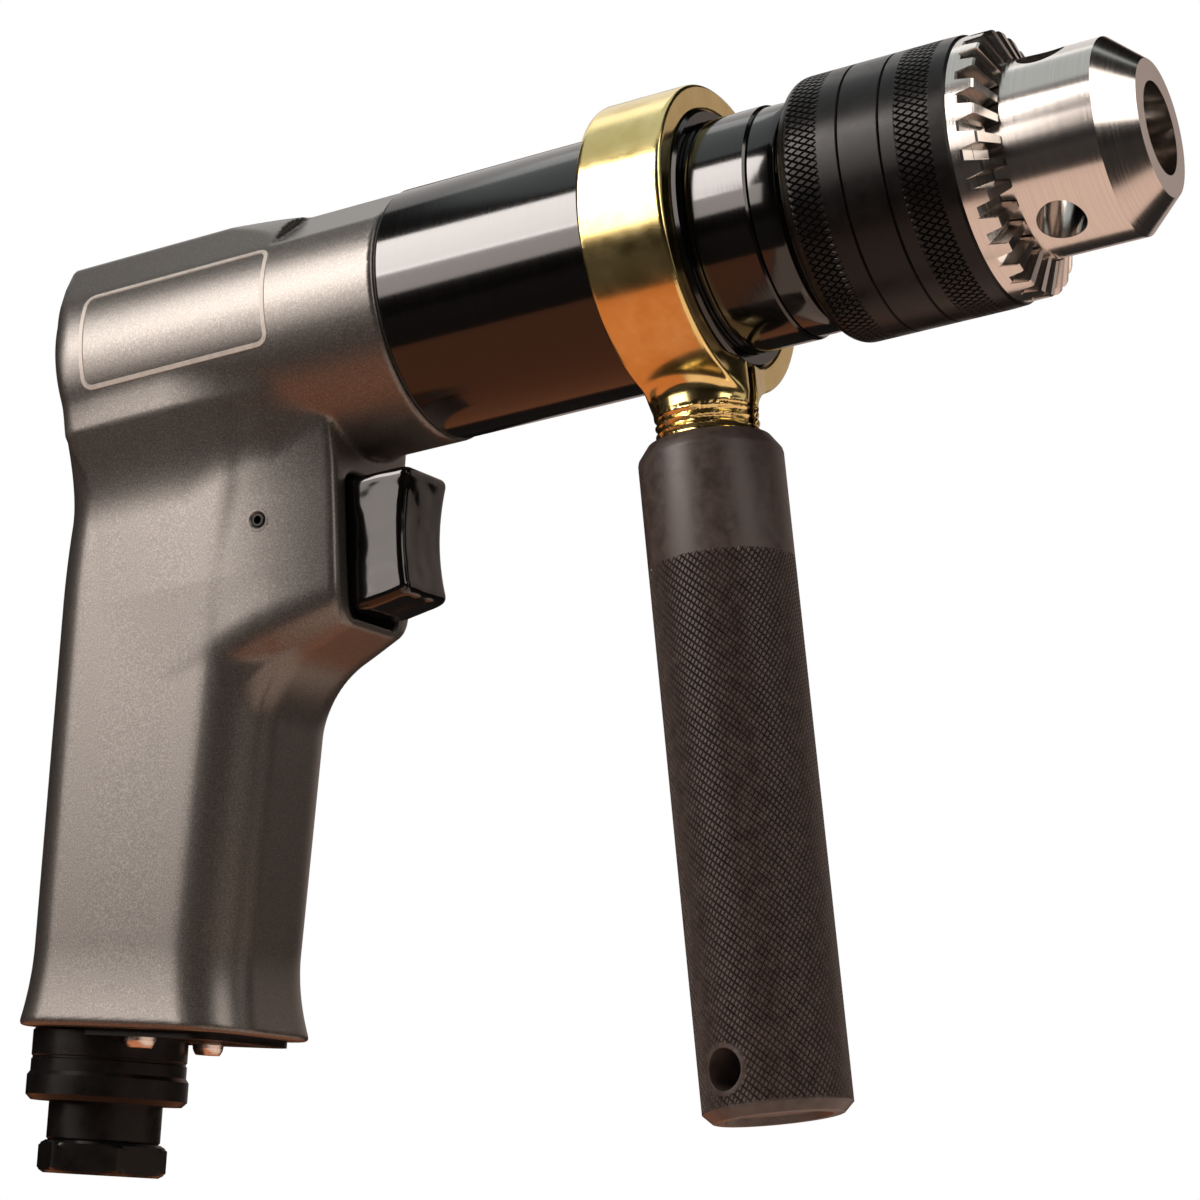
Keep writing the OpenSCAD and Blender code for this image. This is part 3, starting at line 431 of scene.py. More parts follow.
# boss: sides that curve in to the front, a lower face that slopes to the grip, and a sharp front edge;
# the second field is 1 under the lower face, where a larger fillet leads to the grip
def bossField(x, y, z, c):
    d = -x
    near = np.clip((c["sideEnd"] - d) / (c["sideEnd"] - c["bossAt"]), 0, c["beyond"])
    half = c["sideHalf"] - (c["sideHalf"] - c["bossHalf"]) * near ** c["sidePower"]
    half = half + c["topSpread"] * fadeIn(z, *c["spreadHeights"]) ** 2 * near - fadeIn(d, *c["sideFade"]) ** 2
    half = half - c["lowSink"] * fadeIn(-z, *c["sinkDepths"]) * fadeIn(d, *c["sinkReach"])
    side = (np.abs(y) - half) / np.hypot(1, c["sideSlope"] * near)
    low = -(z + c["bossLow"] + c["bossSlope"] * (d - c["bossAt"])) / np.hypot(1, c["bossSlope"])
    front = c["bossAt"] - c["bossLean"] * (z - c["leanFrom"]) - d
    lowEdge = c["lowEdge"] + c["lowEdgeMore"] * fadeIn(d, *c["lowEdgeReach"])
    boss = softMax(softMax(side, low, lowEdge), front, c["bossEdge"])
    under = fadeIn(low - side, -c["underBlend"], c["underBlend"]) * fadeIn(-z, *c["underDepths"])
    under = under * (1 - fadeIn(np.abs(y), *c["underHalves"]))
    return np.maximum(boss, np.maximum(z - c["bossTop"], d - c["bossEnd"])), under


# head, grip and boss joined by fillets, less the trigger's pocket and the motor's bore
def housingField(x, y, z):
    c = housing
    d = -x
    boss, under = bossField(x, y, z, c)
    lower = softMin(gripField(x, y, z, c), boss, c["gripFillet"] + c["underFillet"] * under)
    # the fillet under the head grows to the rear, and ends below the head's middle
    grown = c["bossFillet"] * fadeIn(d, *c["bossFilletReach"])
    rear = fadeIn(d, *c["rearFilletReach"]) * (1 - fadeIn(d, *c["rearFilletEnd"]))
    fillet = c["headFillet"] + (grown + c["rearFillet"] * rear) * fadeIn(-z, *c["filletDepths"])
    body = softMin(headField(x, y, z, c), lower, fillet)
    window = np.maximum(z - c["pocketTop"], c["pocketLow"] - z)
    pocket = softMax(np.abs(y) - c["pocketHalf"], window, c["pocketCorner"])
    pocket = softMax(pocket, d - c["pocketEnd"], c["pocketFloor"])
    bore = np.maximum(np.hypot(y, z) - c["boreR"], d - c["boreEnd"])
    return softMax(softMax(body, -pocket, c["mouthEdge"]), -bore, c["mouthEdge"])


# the roll pin's hole is left open on both sides of the boss: its lip and wall are rings of [radius, rise]
pinHole = {"x": -158.8, "z": -33.4, "open": 1.3, "openBeyond": 13.0, "side": 15.7, "columns": 40,
           "rings": [(2.25, -0.15), (2.0, 0.04), (1.55, 0.05), (1.25, -0.2), (1.25, -2.5)]}


def makeHousing(c, hole):
    points, faces = netSurface(housingField, c["boxLow"], c["boxHigh"], c["step"])
    inHole = np.hypot(points[:, 0] - hole["x"], points[:, 2] - hole["z"]) < hole["open"]
    inHole &= np.abs(points[:, 1]) > hole["openBeyond"]
    faces = faces[~inHole[faces].any(1)]
    makePiece("housingShell", points, faces, "tool_body", "housing", "gunmetal_paint", 60)


# the rings start as flat circles, go on to the housing's surface, then rise or sink
def makePinHole(c):
    a = fullTurn(c["columns"])
    for name, side in (("pinHoleRight", -1), ("pinHoleLeft", 1)):
        rings = []
        for r, rise in c["rings"]:
            flat = np.stack([c["x"] + r * np.cos(a), 0 * a + side * c["side"], c["z"] + r * np.sin(a)], -1)
            rings.append(ontoField(housingField, flat, 0.5)[0] + [0, side * rise, 0])
        faces = gridFaces(len(rings), len(a), False, True)
        makePiece(name, np.concatenate(rings), faces, "tool_body", "housing", "gunmetal_paint", 30)


makeHousing(housing, pinHole)
makePinHole(pinHole)

# roll pin: a tube across the boss, its ends just below the lip
rollPin = {"r": 1.22, "boreR": 0.72, "end": 15.35, "edge": 0.15, "columns": 32}


def makeRollPin(c):
    a = fullTurn(c["columns"])[None, :]
    end, edge = c["end"], c["edge"]
    rows = np.array([[-end, c["r"] - edge], [edge - end, c["r"]], [end - edge, c["r"]], [end, c["r"] - edge],
                     [end, c["boreR"]], [-end, c["boreR"]]])
    along, r = rows[:, :1], rows[:, 1:]
    points = np.stack([pinHole["x"] + r * np.cos(a), along + 0 * a, pinHole["z"] + r * np.sin(a)], -1)
    faces = gridFaces(len(rows), c["columns"], True, True)
    makePiece("rollPin", points.reshape(-1, 3), faces, "tool_body", "roll_pin", "black_oxide", 30)


makeRollPin(rollPin)

# raised outline of a bare plate on the head's side: a profile of [aside, rise] carried along a rounded
# rectangle, whose sides are distances behind the nose and angles from the top
plate = {"from": 150.9, "to": 187.8, "low": 104.0, "high": 57.5, "corner": 1.8, "columns": 240,
         "profile": [(-0.52, -0.15), (-0.38, 0.14), (0.38, 0.14), (0.52, -0.15)]}


def makePlate(c):
    r = housing["headR"]
    least = np.array([-c["to"], np.radians(c["high"]) * r]) + c["corner"]
    most = np.array([-c["from"], np.radians(c["low"]) * r]) - c["corner"]
    path = []
    for k, ends in enumerate([(1, 1), (0, 1), (0, 0), (1, 0)]):
        turn = np.radians(90 * k + np.linspace(0, 90, 9))
        path += list(np.where(ends, most, least) + c["corner"] * np.stack([np.cos(turn), np.sin(turn)], -1))
    path = np.array(path + path[:1])
    far = np.concatenate([[0], np.cumsum(np.hypot(*np.diff(path, axis=0).T))])
    spots = np.linspace(0, far[-1], c["columns"], endpoint=False)
    turn = np.interp(spots, far, path[:, 1]) / r
    line = np.stack([np.interp(spots, far, path[:, 0]), -r * np.sin(turn), r * np.cos(turn)], -1)
    line, out = ontoField(housingField, line, 0.5)
    ahead = np.roll(line, -1, 0) - np.roll(line, 1, 0)
    aside = np.cross(out, ahead / np.linalg.norm(ahead, axis=1)[:, None])
    rings = [line + across * aside + rise * out for across, rise in c["profile"]]
    points, faces = np.concatenate(rings), gridFaces(len(rings), len(spots), True, True)
    makePiece("plateOutline", points, faces, "tool_body", "housing", "end_plate_alloy", 40, "rim")


makePlate(plate)

# brass clamp: a ring with bevelled ends and a stud below it, joined by a fillet and slit in the middle
clamp = {
    "at": 74.0, "width": 15.2, "outerR": 26.0, "innerR": 21.76, "bevel": 0.8, "studR": 8.6, "studTop": 22.0,
    "studEnd": 47.6, "threadTop": 28.7, "pitch": 1.45, "threadDepth": 0.62, "fillet": 2.6, "slot": 2.4,
    "slotEdge": 0.5, "boxLow": (-92, -27.5, -49), "boxHigh": (-71, 27.5, 27.5), "step": 0.34,
}


# the thread is a zigzag in height that climbs one pitch in a turn
def clampField(x, y, z):
    c = clamp
    middle = c["at"] + c["width"] / 2
    r = np.hypot(y, z)
    ends = np.abs(x + middle) - c["width"] / 2
    ring = softMax(softMax(r - c["outerR"], ends, c["bevel"]), c["innerR"] - r, c["bevel"])
    angle = np.arctan2(y, x + middle)
    turn = ((z + c["threadTop"]) / c["pitch"] + angle / (2 * np.pi)) % 1
    groove = np.where(z < -c["threadTop"], np.abs(turn - 0.5) * 2, 0) * c["threadDepth"]
    length = np.maximum(-z - c["studEnd"], z + c["studTop"])
    stud = np.maximum(np.hypot(x + middle, y) - c["studR"] + groove, length)
    body = np.maximum(softMin(ring, stud, c["fillet"]), c["innerR"] - r)
    slit = np.maximum(np.abs(y) - c["slot"] / 2, z)
    return softMax(body, -slit, c["slotEdge"])


clampPoints, clampFaces = netSurface(clampField, clamp["boxLow"], clamp["boxHigh"], clamp["step"])
makePiece("clampCasting", clampPoints, clampFaces, "clamp", "handle_clamp", "cast_brass", 50)

# trigger: a block whose front and sides are hollowed, all edges rounded
trigger = {
    "face": 133.6, "back": 147.0, "half": 7.2, "top": -27.0, "low": -48.4, "lowSlope": 0.16, "lowest": -50.0,
    "hollow": 1.3, "sideHollow": 0.35, "lean": 2.1, "sideEdge": 1.6, "endEdge": 1.8,
    "boxLow": (-148.5, -8.5, -52), "boxHigh": (-132.5, 8.5, -26.5), "step": 0.32,
}


# hollows are parabolas from the top to the lower end
def triggerField(x, y, z):
    c = trigger
    t = np.clip((c["top"] - z) / (c["top"] - c["low"]), 0, 1)
    sink = 1 - (2 * t - 1) ** 2
    front = x + c["face"] + c["hollow"] * sink + c["lean"] * t
    side = np.abs(y) - c["half"] + c["sideHollow"] * sink
    low = np.maximum(c["low"] - c["lowSlope"] * (-x - c["face"]), c["lowest"])
    ends = np.maximum(z - c["top"], low - z)
    block = softMax(softMax(front, side, c["sideEdge"]), ends, c["endEdge"])
    return np.maximum(block, -x - c["back"])


triggerPoints, triggerFaces = netSurface(triggerField, trigger["boxLow"], trigger["boxHigh"], trigger["step"])
makePiece("triggerButton", triggerPoints, triggerFaces, "trigger", "trigger", "black_plastic", 60)

# barrel: a tube with a narrower collar in front, two grooves in the collar and a spigot in the housing;
# a groove is given by the distances of its four corners from the shoulder
barrel = {"collarAt": 62.3, "at": 73.5, "end": 129.0, "r": 21.7, "collarR": 19.5, "spigotR": 19.1,
          "spigotEnd": 144.0, "boreR": 17.0, "grooves": [(1.9, 1.7, 1.3, 1.1), (0.7, 0.5, 0.2, 0.0)],
          "grooveDepth": 0.35, "frontEdge": 0.5, "rearEdge": 0.3}
# bearing cap: a ring with a round front edge and a raised band behind it
cap = {"at": 56.9, "boreR": 9.8, "faceR": 17.2, "edgeR": 17.4, "edge": 1.6, "bandAt": 60.0, "bandR": 19.1,
       "bandEnd": 61.9, "rearR": 18.8}
# seal: a thin ring with a round rim between barrel and housing
seal = {"boreR": 19.12, "wallR": 21.3, "rimR": 21.2}


def makeBarrel(c):
    at, end, floorR = c["at"], c["end"], c["collarR"] - c["grooveDepth"]
    outline = [[c["collarAt"], c["boreR"]], [c["collarAt"], floorR],
               [c["collarAt"] + c["grooveDepth"], c["collarR"]]]
    for start, floorStart, floorEnd, stop in c["grooves"]:
        outline += [[at - start, c["collarR"]], [at - floorStart, floorR], [at - floorEnd, floorR],
                    [at - stop, c["collarR"]]]
    outline += [[at, c["r"] - c["frontEdge"]], [at + c["frontEdge"], c["r"]], [end - c["rearEdge"], c["r"]],
                [end, c["r"] - c["rearEdge"]], [end, c["spigotR"]], [c["spigotEnd"], c["spigotR"]],
                [c["spigotEnd"], c["boreR"]]]
    turned("barrelTube", outline, "tool_body", "gear_case", "blued_steel")


def makeCap(c, end):
    edge = arc([c["at"] + c["edge"], c["edgeR"]], c["edge"], 180, 90, 5)
    outline = [[c["at"], c["boreR"]], [c["at"], c["faceR"]], *edge, [c["bandAt"], c["bandR"]],
               [c["bandEnd"], c["bandR"]], [end, c["rearR"]], [end, c["boreR"]]]
    turned("capRing", outline, "tool_body", "bearing_cap", "blued_steel")


def makeSeal(c, at, end):
    rim = arc([(at + end) / 2, c["rimR"]], (end - at) / 2, 150, 30, 5)
    outline = [[at, c["boreR"]], [at, c["wallR"]], *rim, [end, c["wallR"]], [end, c["boreR"]]]
    turned("sealRing", outline, "tool_body", "case_seal", "black_rubber")


makeBarrel(barrel)
makeCap(cap, barrel["collarAt"])
makeSeal(seal, barrel["end"], housing["headAt"])


# diamond knurl: two sets of V grooves cross on a turned band. A set is (starts round the band, pitch along
# it, depth, width as a share of the pitch). u and v count along the sets: whole numbers are groove bottoms
def knurlBand(low, high, radius, sets):
    runOut = 0.3  # the grooves end this far from the band's edges
    (startsU, pitchU, depthU, shareU), (startsV, pitchV, depthV, shareV) = sets
    rate = np.array([[1 / pitchU, startsU / (2 * np.pi)], [1 / pitchV, startsV / (2 * np.pi)]])
    byU, byV = np.linalg.inv(rate)[0]
    turns = np.array([0, abs(startsU)])
    reach = np.array([(end - byU * u) / byV for end in (low, high) for u in turns])
    marks = [np.array([0, share / 2, 1 - share / 2]) for share in (shareU, shareV)]
    u = (np.arange(turns[1])[:, None] + marks[0]).ravel()
    u = np.append(u, turns[1])
    v = (np.arange(np.floor(reach.min()), np.ceil(reach.max()))[:, None] + marks[1]).ravel()
    free = byU * u[:, None] + byV * v[None, :]
    at = np.clip(free, low, high)
    angle = (u[:, None] - at / pitchU) * 2 * np.pi / startsU
    cut = np.minimum(-depthU * (u % 1 == 0)[:, None], -depthV * (v % 1 == 0)[None, :])
    r = radius(at) + cut * np.clip(np.minimum(at - low, high - at) / runOut, 0, 1)
    faces = gridFaces(len(u), len(v), False, False)
    inside = ((free > low) & (free < high)).ravel()
    return at, r, angle, faces[inside[faces].any(1)]


# chuck sleeve: two knurled bands over sunk seats, two fine lines and a rounded rear edge
sleeve = {
    "at": 27.0, "end": 56.3, "r": 22.0, "boreR": 19.3, "bands": [(29.7, 35.6), (48.6, 54.2)], "seat": 0.6,
    "lines": [38.2, 45.2], "lineHalf": 0.25, "lineDepth": 0.32, "edge": 3.2, "edgeTurn": 75.0,
    "frontEdge": [(0.0, 0.5), (0.4, 0.1)],
    "grooves": [(113, 2.2, 0.36, 0.36), (-113, 2.2, 0.3, 0.36)], "columns": 226,
}


def makeSleeve(c):
    edge, top = c["edge"], c["r"]
    edgeTurn = np.radians(c["edgeTurn"])
    centre = c["end"] - edge * np.sin(edgeTurn)

    def radius(at):
        return top - edge + np.sqrt(edge ** 2 - np.maximum(at - centre, 0) ** 2)

    (frontAt, frontEnd), (rearAt, rearEnd) = c["bands"]
    seatR = top - c["seat"]
    rows = [[c["at"] + far, top - cut] for far, cut in c["frontEdge"]]
    rows += [[frontAt, top], [frontAt, seatR], [frontEnd, seatR], [frontEnd, top]]
    for line in c["lines"]:
        rows += [[line - c["lineHalf"], top], [line, top - c["lineDepth"]], [line + c["lineHalf"], top]]
    rows += [[rearAt, top], [rearAt, seatR], [rearEnd, radius(rearEnd) - c["seat"]]]
    rear = centre + edge * np.sin(np.linspace(np.arcsin((rearEnd - centre) / edge), edgeTurn, 8))
    rows += [[a, radius(a)] for a in rear] + [[c["end"], c["boreR"]], [c["at"], c["boreR"]]]
    at, r = np.array(rows).T
    angle = fullTurn(c["columns"])
    points = [aboutBarrel(at[:, None], r[:, None] + 0 * angle, angle[None, :])]
    faces = [gridFaces(len(at), len(angle), True, True)]
    for low, high in c["bands"]:
        at, r, turn, net = knurlBand(low, high, radius, c["grooves"])
        faces.append(net + sum(len(p) for p in points))
        points.append(aboutBarrel(at, r, turn))
    points, faces = np.concatenate(points), np.concatenate(faces)
    makePiece("sleeveKnurled", points, faces, "chuck_sleeve", "chuck_sleeve", "black_oxide", 25)


makeSleeve(sleeve)

# key gear: a rim whose front is cut by gaps that run to the point where the key's axis meets the spindle's
keyGear = {"teeth": 29, "innerR": 16.3, "outerR": 21.5, "seatR": 19.3, "end": 27.0, "landAt": 20.5,
           "landSlope": 0.385, "apex": 15.1, "rootSlope": 0.474, "tipHalf": 3.9, "rootHalf": 2.3,
           "edge": 0.25, "turn": 2.0}


# rows run from the inner edge over the teeth to the back; each tooth has five columns
def makeKeyGear(c):
    half = 180 / c["teeth"]
    marks = np.array([-half, -c["tipHalf"], -c["rootHalf"], c["rootHalf"], c["tipHalf"]])
    cut = np.array([0.0, 0.0, 1.0, 1.0, 0.0])
    angle = np.radians((np.arange(c["teeth"])[:, None] * 2 * half + marks + c["turn"]).ravel())
    deep = np.tile(cut, c["teeth"])
    toothed = np.linspace(c["innerR"], c["outerR"] - c["edge"], 6)
    radii = np.array([c["innerR"], *toothed, c["outerR"], c["outerR"], c["seatR"]])
    land = c["landAt"] + (radii - c["innerR"]) * c["landSlope"]
    root = np.maximum(c["apex"] + radii * c["rootSlope"], land)
    at = land[:, None] + (root - land)[:, None] * deep[None, :]
    at[len(toothed) + 1] += c["edge"]
    at[0] = at[-1] = at[-2] = c["end"]
    points = aboutBarrel(at, radii[:, None] + 0 * at, -angle[None, :])
    faces = gridFaces(len(radii), len(angle), True, True)
    makePiece("keyGearRim", points, faces, "chuck_sleeve", "key_gear", "ground_steel", 20)


makeKeyGear(keyGear)

# side handle: smooth neck, knurled grip, chamfered end with a shallow recess, cross hole with a thin lip;
# neck and tail are [distance from the end, cut in from the radius] points
handle = {
    "middle": 81.6, "r": 11.9, "top": 33.6, "end": 143.0, "knurlTop": 54.0, "knurlEnd": 141.2, "boreR": 8.7,
    "boreEnd": 49.6, "neck": [(0.0, 1.7), (0.3, 1.5), (2.2, 0.15), (2.8, 0.0)],
    "tail": [(1.6, 0.0), (0.1, 1.5), (0.0, 1.8), (0.0, 3.4), (1.0, 4.0)], "core": 0.8, "pole": 0.001,
    "grooves": [(-52, 1.36, 0.42, 0.42), (89, 1.29, 0.26, 0.44)], "columns": 180,
    "holeAt": 135.5, "holeR": 3.3, "holeTurn": -17.6, "holeGap": 0.3, "skin": 1.0, "holeColumns": 48,
    "lip": [(1.0, 0.25), (0.7, -0.04), (0.15, -0.02), (0.0, 0.15)],
}


def makeHandle(c):
    angle = fullTurn(c["columns"])
    coreR = c["r"] - c["core"]
    rows = [[c["boreEnd"], c["pole"]], [c["boreEnd"], c["boreR"]], [c["top"], c["boreR"]]]
    rows += [[c["top"] + far, c["r"] - cut] for far, cut in c["neck"]]
    rows += [[c["knurlTop"], c["r"]], [c["knurlTop"], coreR], [c["knurlEnd"], coreR], [c["knurlEnd"], c["r"]]]
    rows += [[c["end"] - far, c["r"] - cut] for far, cut in c["tail"]]
    rows.append([c["end"] - c["tail"][-1][0], c["pole"]])
    depth, r = np.array(rows).T
    points = aboutHandle(depth[:, None], r[:, None] + 0 * angle, angle[None, :], c["middle"])
    faces = gridFaces(len(depth), len(angle), False, True)
    # the knurled part has its own net, and the plain core under it is left out
    core = rows.index([c["knurlTop"], coreR]) * len(angle)
    faces = faces[(faces.min(1) < core) | (faces.min(1) >= core + len(angle))]

    def radius(at):
        return c["r"] + 0 * at

    depth, r, turn, net = knurlBand(c["knurlTop"], c["knurlEnd"], radius, c["grooves"])
    faces = np.concatenate([faces, net + len(points)])
    points = np.concatenate([points, aboutHandle(depth, r, turn, c["middle"])])
    # the cross hole: faces inside its wall are left out
    turn = np.radians(c["holeTurn"])
    across = (points[:, 0] + c["middle"]) * np.cos(turn) + points[:, 1] * np.sin(turn)
    far = np.hypot(across, points[:, 2] + c["holeAt"])
    outer = np.hypot(points[:, 0] + c["middle"], points[:, 1]) > c["r"] - c["skin"]
    inHole = (far < c["holeR"] + c["holeGap"]) & outer
    makePiece("handleGrip", points, faces[~inHole[faces].any(1)], "handle", "side_handle", "black_oxide", 25,
              "phosphate")


# wall of the hole: rings of [added radius, sink] that lie on the round surface at each end
def makeHandleHole(c):
    turn = np.radians(c["holeTurn"])
    a = fullTurn(c["holeColumns"])
    rings = []
    for end in (-1, 1):
        for size, sink in c["lip"][::-end]:
            ringR = c["holeR"] + size
            w = end * (np.sqrt(c["r"] ** 2 - (ringR * np.cos(a)) ** 2) - sink)
            rings.append(np.stack([ringR * np.cos(a), w, ringR * np.sin(a)], -1))
    rings = np.array(rings)
    x = rings[..., 0] * np.cos(turn) - rings[..., 1] * np.sin(turn) - c["middle"]
    y = rings[..., 0] * np.sin(turn) + rings[..., 1] * np.cos(turn)
    wall = np.stack([x, y, rings[..., 2] - c["holeAt"]], -1).reshape(-1, 3)
    faces = gridFaces(len(rings), len(a), False, True)
    makePiece("handleHole", wall, faces, "handle", "side_handle", "black_oxide", 40, "phosphate")


makeHandle(handle)
makeHandleHole(handle)

# inlet: turned bushing, then a fitting with a neck and a chamfered hexagon, along the grip axis
inlet = {
    "r": 13.3, "edge": 0.4, "stemR": 8.0, "stem": 13.0, "threadR": 6.52, "groove": (4.6, 4.8, 5.1, 5.3),
    "grooveDepth": 0.2, "ringAt": 122.0, "ringR": 13.8, "ringFoot": 0.7, "ringEdge": 0.9, "neckAt": 126.2,
    "plugR": 6.5, "neckR": 9.7, "neckEdge": 0.4, "neckSink": 0.3, "hexAt": 132.8, "end": 138.4, "flats": 20.0,
    "hexRows": 13, "hexEdge": 0.2, "hexChamfer": 2.0, "hexTurn": -12.0, "boreR": 5.6, "mouth": 0.5,
    "boreDepth": 13.0, "passageR": 4.6, "columns": 144,
}


# points turned about the grip axis: depth along it and radius
def alongGrip(s, r, angle):
    rake = np.radians(housing["rake"])
    u, v, w = r * np.cos(angle), r * np.sin(angle), -s + 0 * r
    x = -housing["gripAt"] + u * np.cos(rake) + w * np.sin(rake)
    return np.stack([x, v, -u * np.sin(rake) + w * np.cos(rake)], -1).reshape(-1, 3)


def makeBushing(c, foot, angle):
    start, floorStart, floorEnd, stop = c["groove"]
    floorR = c["r"] - c["grooveDepth"]
    outline = [[foot - c["stem"], c["threadR"]], [foot - c["stem"], c["stemR"]], [foot, c["stemR"]],
               [foot, c["r"] - c["edge"]], [foot + c["edge"], c["r"]], [foot + start, c["r"]],
               [foot + floorStart, floorR], [foot + floorEnd, floorR], [foot + stop, c["r"]],
               [c["ringAt"] - c["ringFoot"], c["r"]], [c["ringAt"], c["ringR"]],
               [c["neckAt"] - c["ringEdge"], c["ringR"]], [c["neckAt"], c["ringR"] - c["ringEdge"]],
               [c["neckAt"], c["threadR"]]]
    s, r = np.array(outline).T
    points = alongGrip(s[:, None], r[:, None] + 0 * angle, angle[None, :])
    faces = gridFaces(len(s), len(angle), True, True)
    makePiece("inletBushing", points, faces, "tool_body", "inlet_bushing", "black_oxide", 25)


# the hexagon is the smaller of a flat's distance and a cone at each end
def makeFitting(c, foot, angle):
    sector = (angle - np.radians(c["hexTurn"]) + np.pi / 6) % (np.pi / 3) - np.pi / 6
    flat = c["flats"] / 2 / np.cos(sector)
    hexRows = np.linspace(c["hexAt"], c["end"], c["hexRows"])
    edge = np.minimum(hexRows - c["hexAt"], c["end"] - hexRows)
    hexR = np.minimum(flat[None, :], c["flats"] / 2 - c["hexEdge"] + c["hexChamfer"] * edge[:, None])
    before = [[foot, c["passageR"]], [foot, c["plugR"]], [c["neckAt"], c["plugR"]], [c["neckAt"], c["neckR"]],
              [c["hexAt"] - c["neckEdge"], c["neckR"]], [c["hexAt"], c["neckR"] - c["neckSink"]]]
    bottom = c["end"] - c["boreDepth"]
    after = [[c["end"], c["boreR"] + c["mouth"]], [c["end"] - c["mouth"], c["boreR"]], [bottom, c["boreR"]],
             [bottom, c["passageR"]]]
    (sBefore, rBefore), (sAfter, rAfter) = np.array(before).T, np.array(after).T
    ones = np.ones((1, len(angle)))
    radii = np.concatenate([rBefore[:, None] * ones, hexR, rAfter[:, None] * ones])
    s = np.concatenate([sBefore, hexRows, sAfter])
    points = alongGrip(s[:, None] + 0 * radii, radii, angle[None, :])
    faces = gridFaces(len(s), len(angle), True, True)
    makePiece("inletHexagon", points, faces, "tool_body", "inlet_fitting", "black_oxide", 20)


inletAngle = fullTurn(inlet["columns"])
makeBushing(inlet, housing["foot"], inletAngle)
makeFitting(inlet, housing["foot"], inletAngle)
print("pieces made")

# studio: pale floor below the tool, dark walls that only reflections see, soft lamps; in metres
studio = {
    "floorZ": -0.215, "floorSize": 3.0, "floorColour": "#d9cdc2", "wallR": 2.2, "wallColour": "#141211",
    "wallGap": 0.004, "wallRows": 13, "wallColumns": 32, "wallPole": 0.01,
    "ambient": 0.35, "ambientColour": "#fff6ee",
    # name, place, aim, width, height, power, colour
    "lamps": [
        ("key", (-0.57, -0.727, 0.64), (-0.1, 0.0, 0.0), 0.42, 0.54, 9.5, "#fff6f0"),
        ("lowKey", (-0.75, -0.91, 0.3), (-0.1, 0.0, 0.0), 0.86, 0.38, 4.4, "#fff3ec"),
        ("front", (0.82, -0.3, 0.52), (0.0, 0.0, 0.0), 0.5, 0.9, 4.2, "#fff6ee"),
        ("side", (1.0, 0.25, 0.25), (-0.1, 0.0, -0.05), 0.7, 0.8, 1.2, "#fff6ee"),
        ("highBack", (-0.6, 0.65, 0.97), (-0.1, 0.0, 0.0), 1.0, 0.8, 2.5, "#f6f1ee"),
        ("back", (0.04, 1.33, 0.38), (-0.1, 0.0, 0.0), 1.8, 0.9, 2.5, "#f3ddd2"),
        ("top", (-0.1, 0.001, 1.5), (-0.1, 0.0, 0.0), 1.5, 1.5, 5.2, "#eaf2f1"),
        ("warm", (-0.42, 0.001, -0.205), (-0.42, 0.0, 0.0), 0.55, 0.5, 0.55, "#ff9c66"),
        ("rose", (0.06, 0.001, -0.205), (0.06, 0.0, 0.0), 0.4, 0.5, 0.6, "#ffdcc8"),
    ],
}


# a piece of the studio in one plain paint
def makeSet(name, points, faces, paint, colour, rough):
    mesh = bpy.data.meshes.new(name)
    mesh.from_pydata(points, [], faces)
    mesh.materials.append(startMaterial(paint, {"Base Color": linear(colour), "Roughness": rough})[0])
    piece = bpy.data.objects.new(name, mesh)
    bpy.context.scene.collection.objects.link(piece)
    return piece


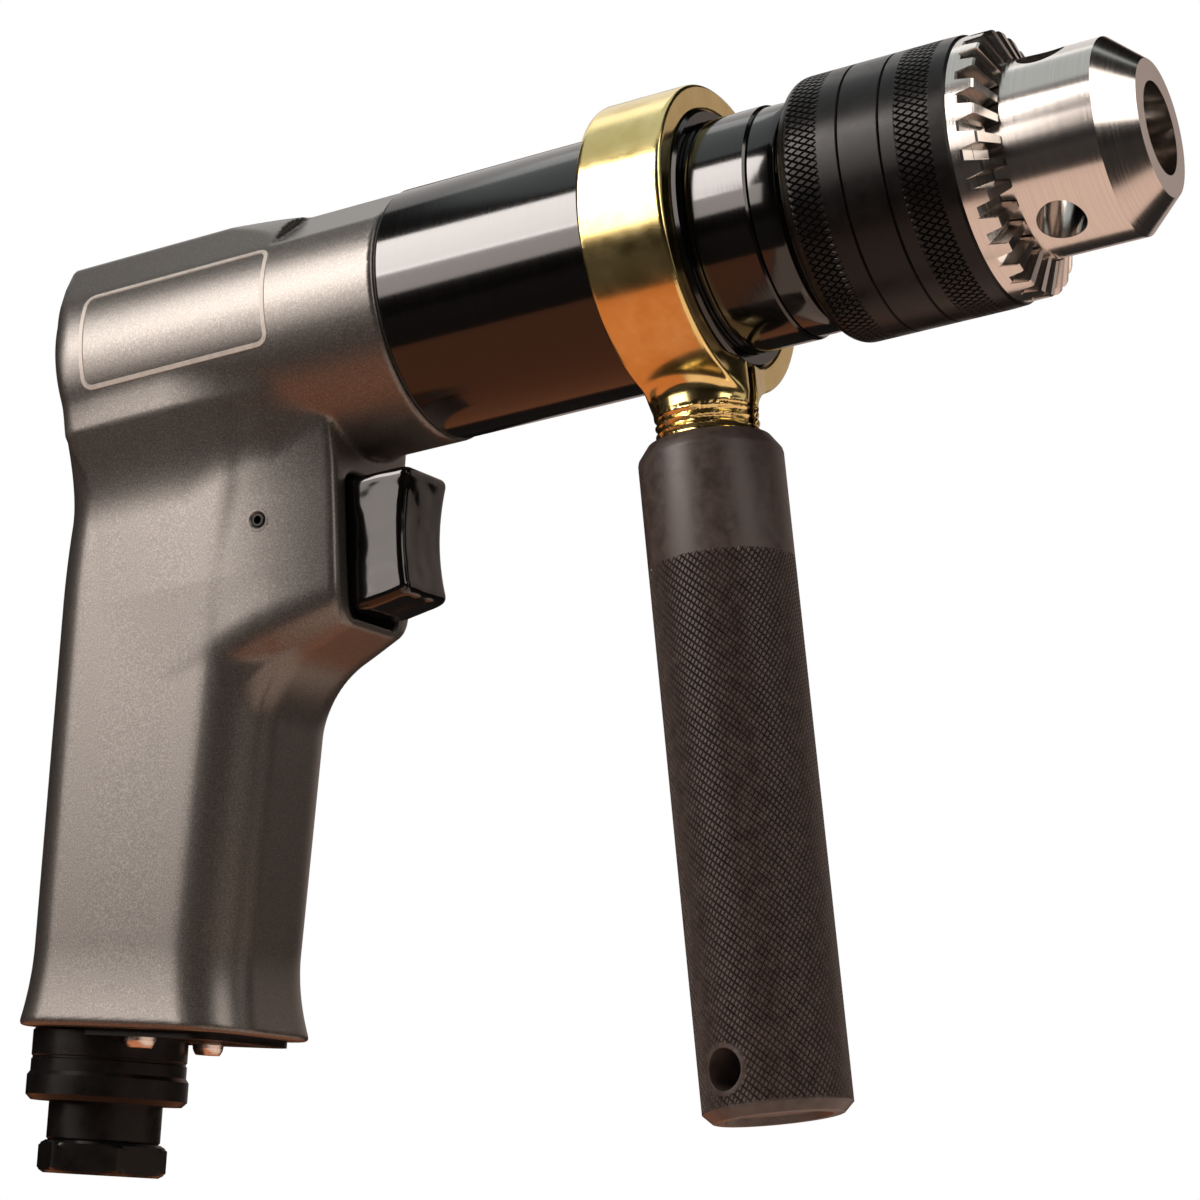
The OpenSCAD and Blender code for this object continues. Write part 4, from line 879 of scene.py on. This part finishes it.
# a flat sheet, and a dome from just above it to the top, with an inner ring that closes it below
def makeFloorAndWalls(c):
    size, z = c["floorSize"], c["floorZ"]
    sheet = [(-size, -size, z), (size, -size, z), (size, size, z), (-size, size, z)]
    floor = makeSet("floor", sheet, [(0, 1, 2, 3)], "floorPaper", c["floorColour"], 0.7)
    lowest = np.arcsin((z + c["wallGap"]) / c["wallR"])
    tilt = np.linspace(lowest, np.pi / 2 - c["wallPole"], c["wallRows"])
    turn = fullTurn(c["wallColumns"])
    flat = np.append(c["wallPole"], np.cos(tilt))[:, None] * c["wallR"]
    rise = np.append(np.sin(lowest), np.sin(tilt))[:, None] * c["wallR"]
    dome = np.stack([flat * np.cos(turn), flat * np.sin(turn), rise + 0 * turn], -1).reshape(-1, 3)
    faces = gridFaces(len(flat), len(turn), False, True)
    wall = makeSet("studioWalls", dome.tolist(), faces.tolist(), "blackCloth", c["wallColour"], 1.0)
    wall.visible_camera = wall.visible_diffuse = wall.visible_shadow = False


def makeLamps(c):
    for name, place, aim, wide, high, power, colour in c["lamps"]:
        lamp = bpy.data.lights.new(name, "AREA")
        lamp.shape = "RECTANGLE"
        lamp.size, lamp.size_y, lamp.energy = wide, high, power
        lamp.color = linear(colour)[:3]
        stand = bpy.data.objects.new(name, lamp)
        stand.visible_camera = False
        back = np.array(place) - np.array(aim)
        back /= np.linalg.norm(back)
        side = np.cross([0, 0, 1], back)
        side /= np.linalg.norm(side)
        stand.matrix_world = standMatrix(side, np.cross(back, side), back, place)
        bpy.context.scene.collection.objects.link(stand)


# the world is white to the camera, to reflections and through glass, and a weak warm light to the rest
def makeWorld(c):
    world = bpy.data.worlds.new("studio")
    bpy.context.scene.world = world
    world.use_nodes = True
    tree = world.node_tree
    ray = addNode(tree, "ShaderNodeLightPath").outputs
    seen = addNode(tree, "ShaderNodeMath", {"operation": "MAXIMUM"},
                   {0: ray["Is Camera Ray"], 1: ray["Is Glossy Ray"]})
    shown = addNode(tree, "ShaderNodeMath", {"operation": "MAXIMUM"},
                    {0: seen.outputs["Value"], 1: ray["Is Transmission Ray"]})
    light = tree.nodes["Background"]
    light.inputs["Color"].default_value = linear(c["ambientColour"])
    light.inputs["Strength"].default_value = c["ambient"]
    white = addNode(tree, "ShaderNodeBackground", {"Color": (1, 1, 1, 1), "Strength": 1.0})
    mix = addNode(tree, "ShaderNodeMixShader", None, {"Fac": shown.outputs["Value"],
                                                      1: light.outputs["Background"],
                                                      2: white.outputs["Background"]})
    tree.links.new(mix.outputs["Shader"], tree.nodes["World Output"].inputs["Surface"])


makeFloorAndWalls(studio)
makeLamps(studio)
makeWorld(studio)
print("studio set")
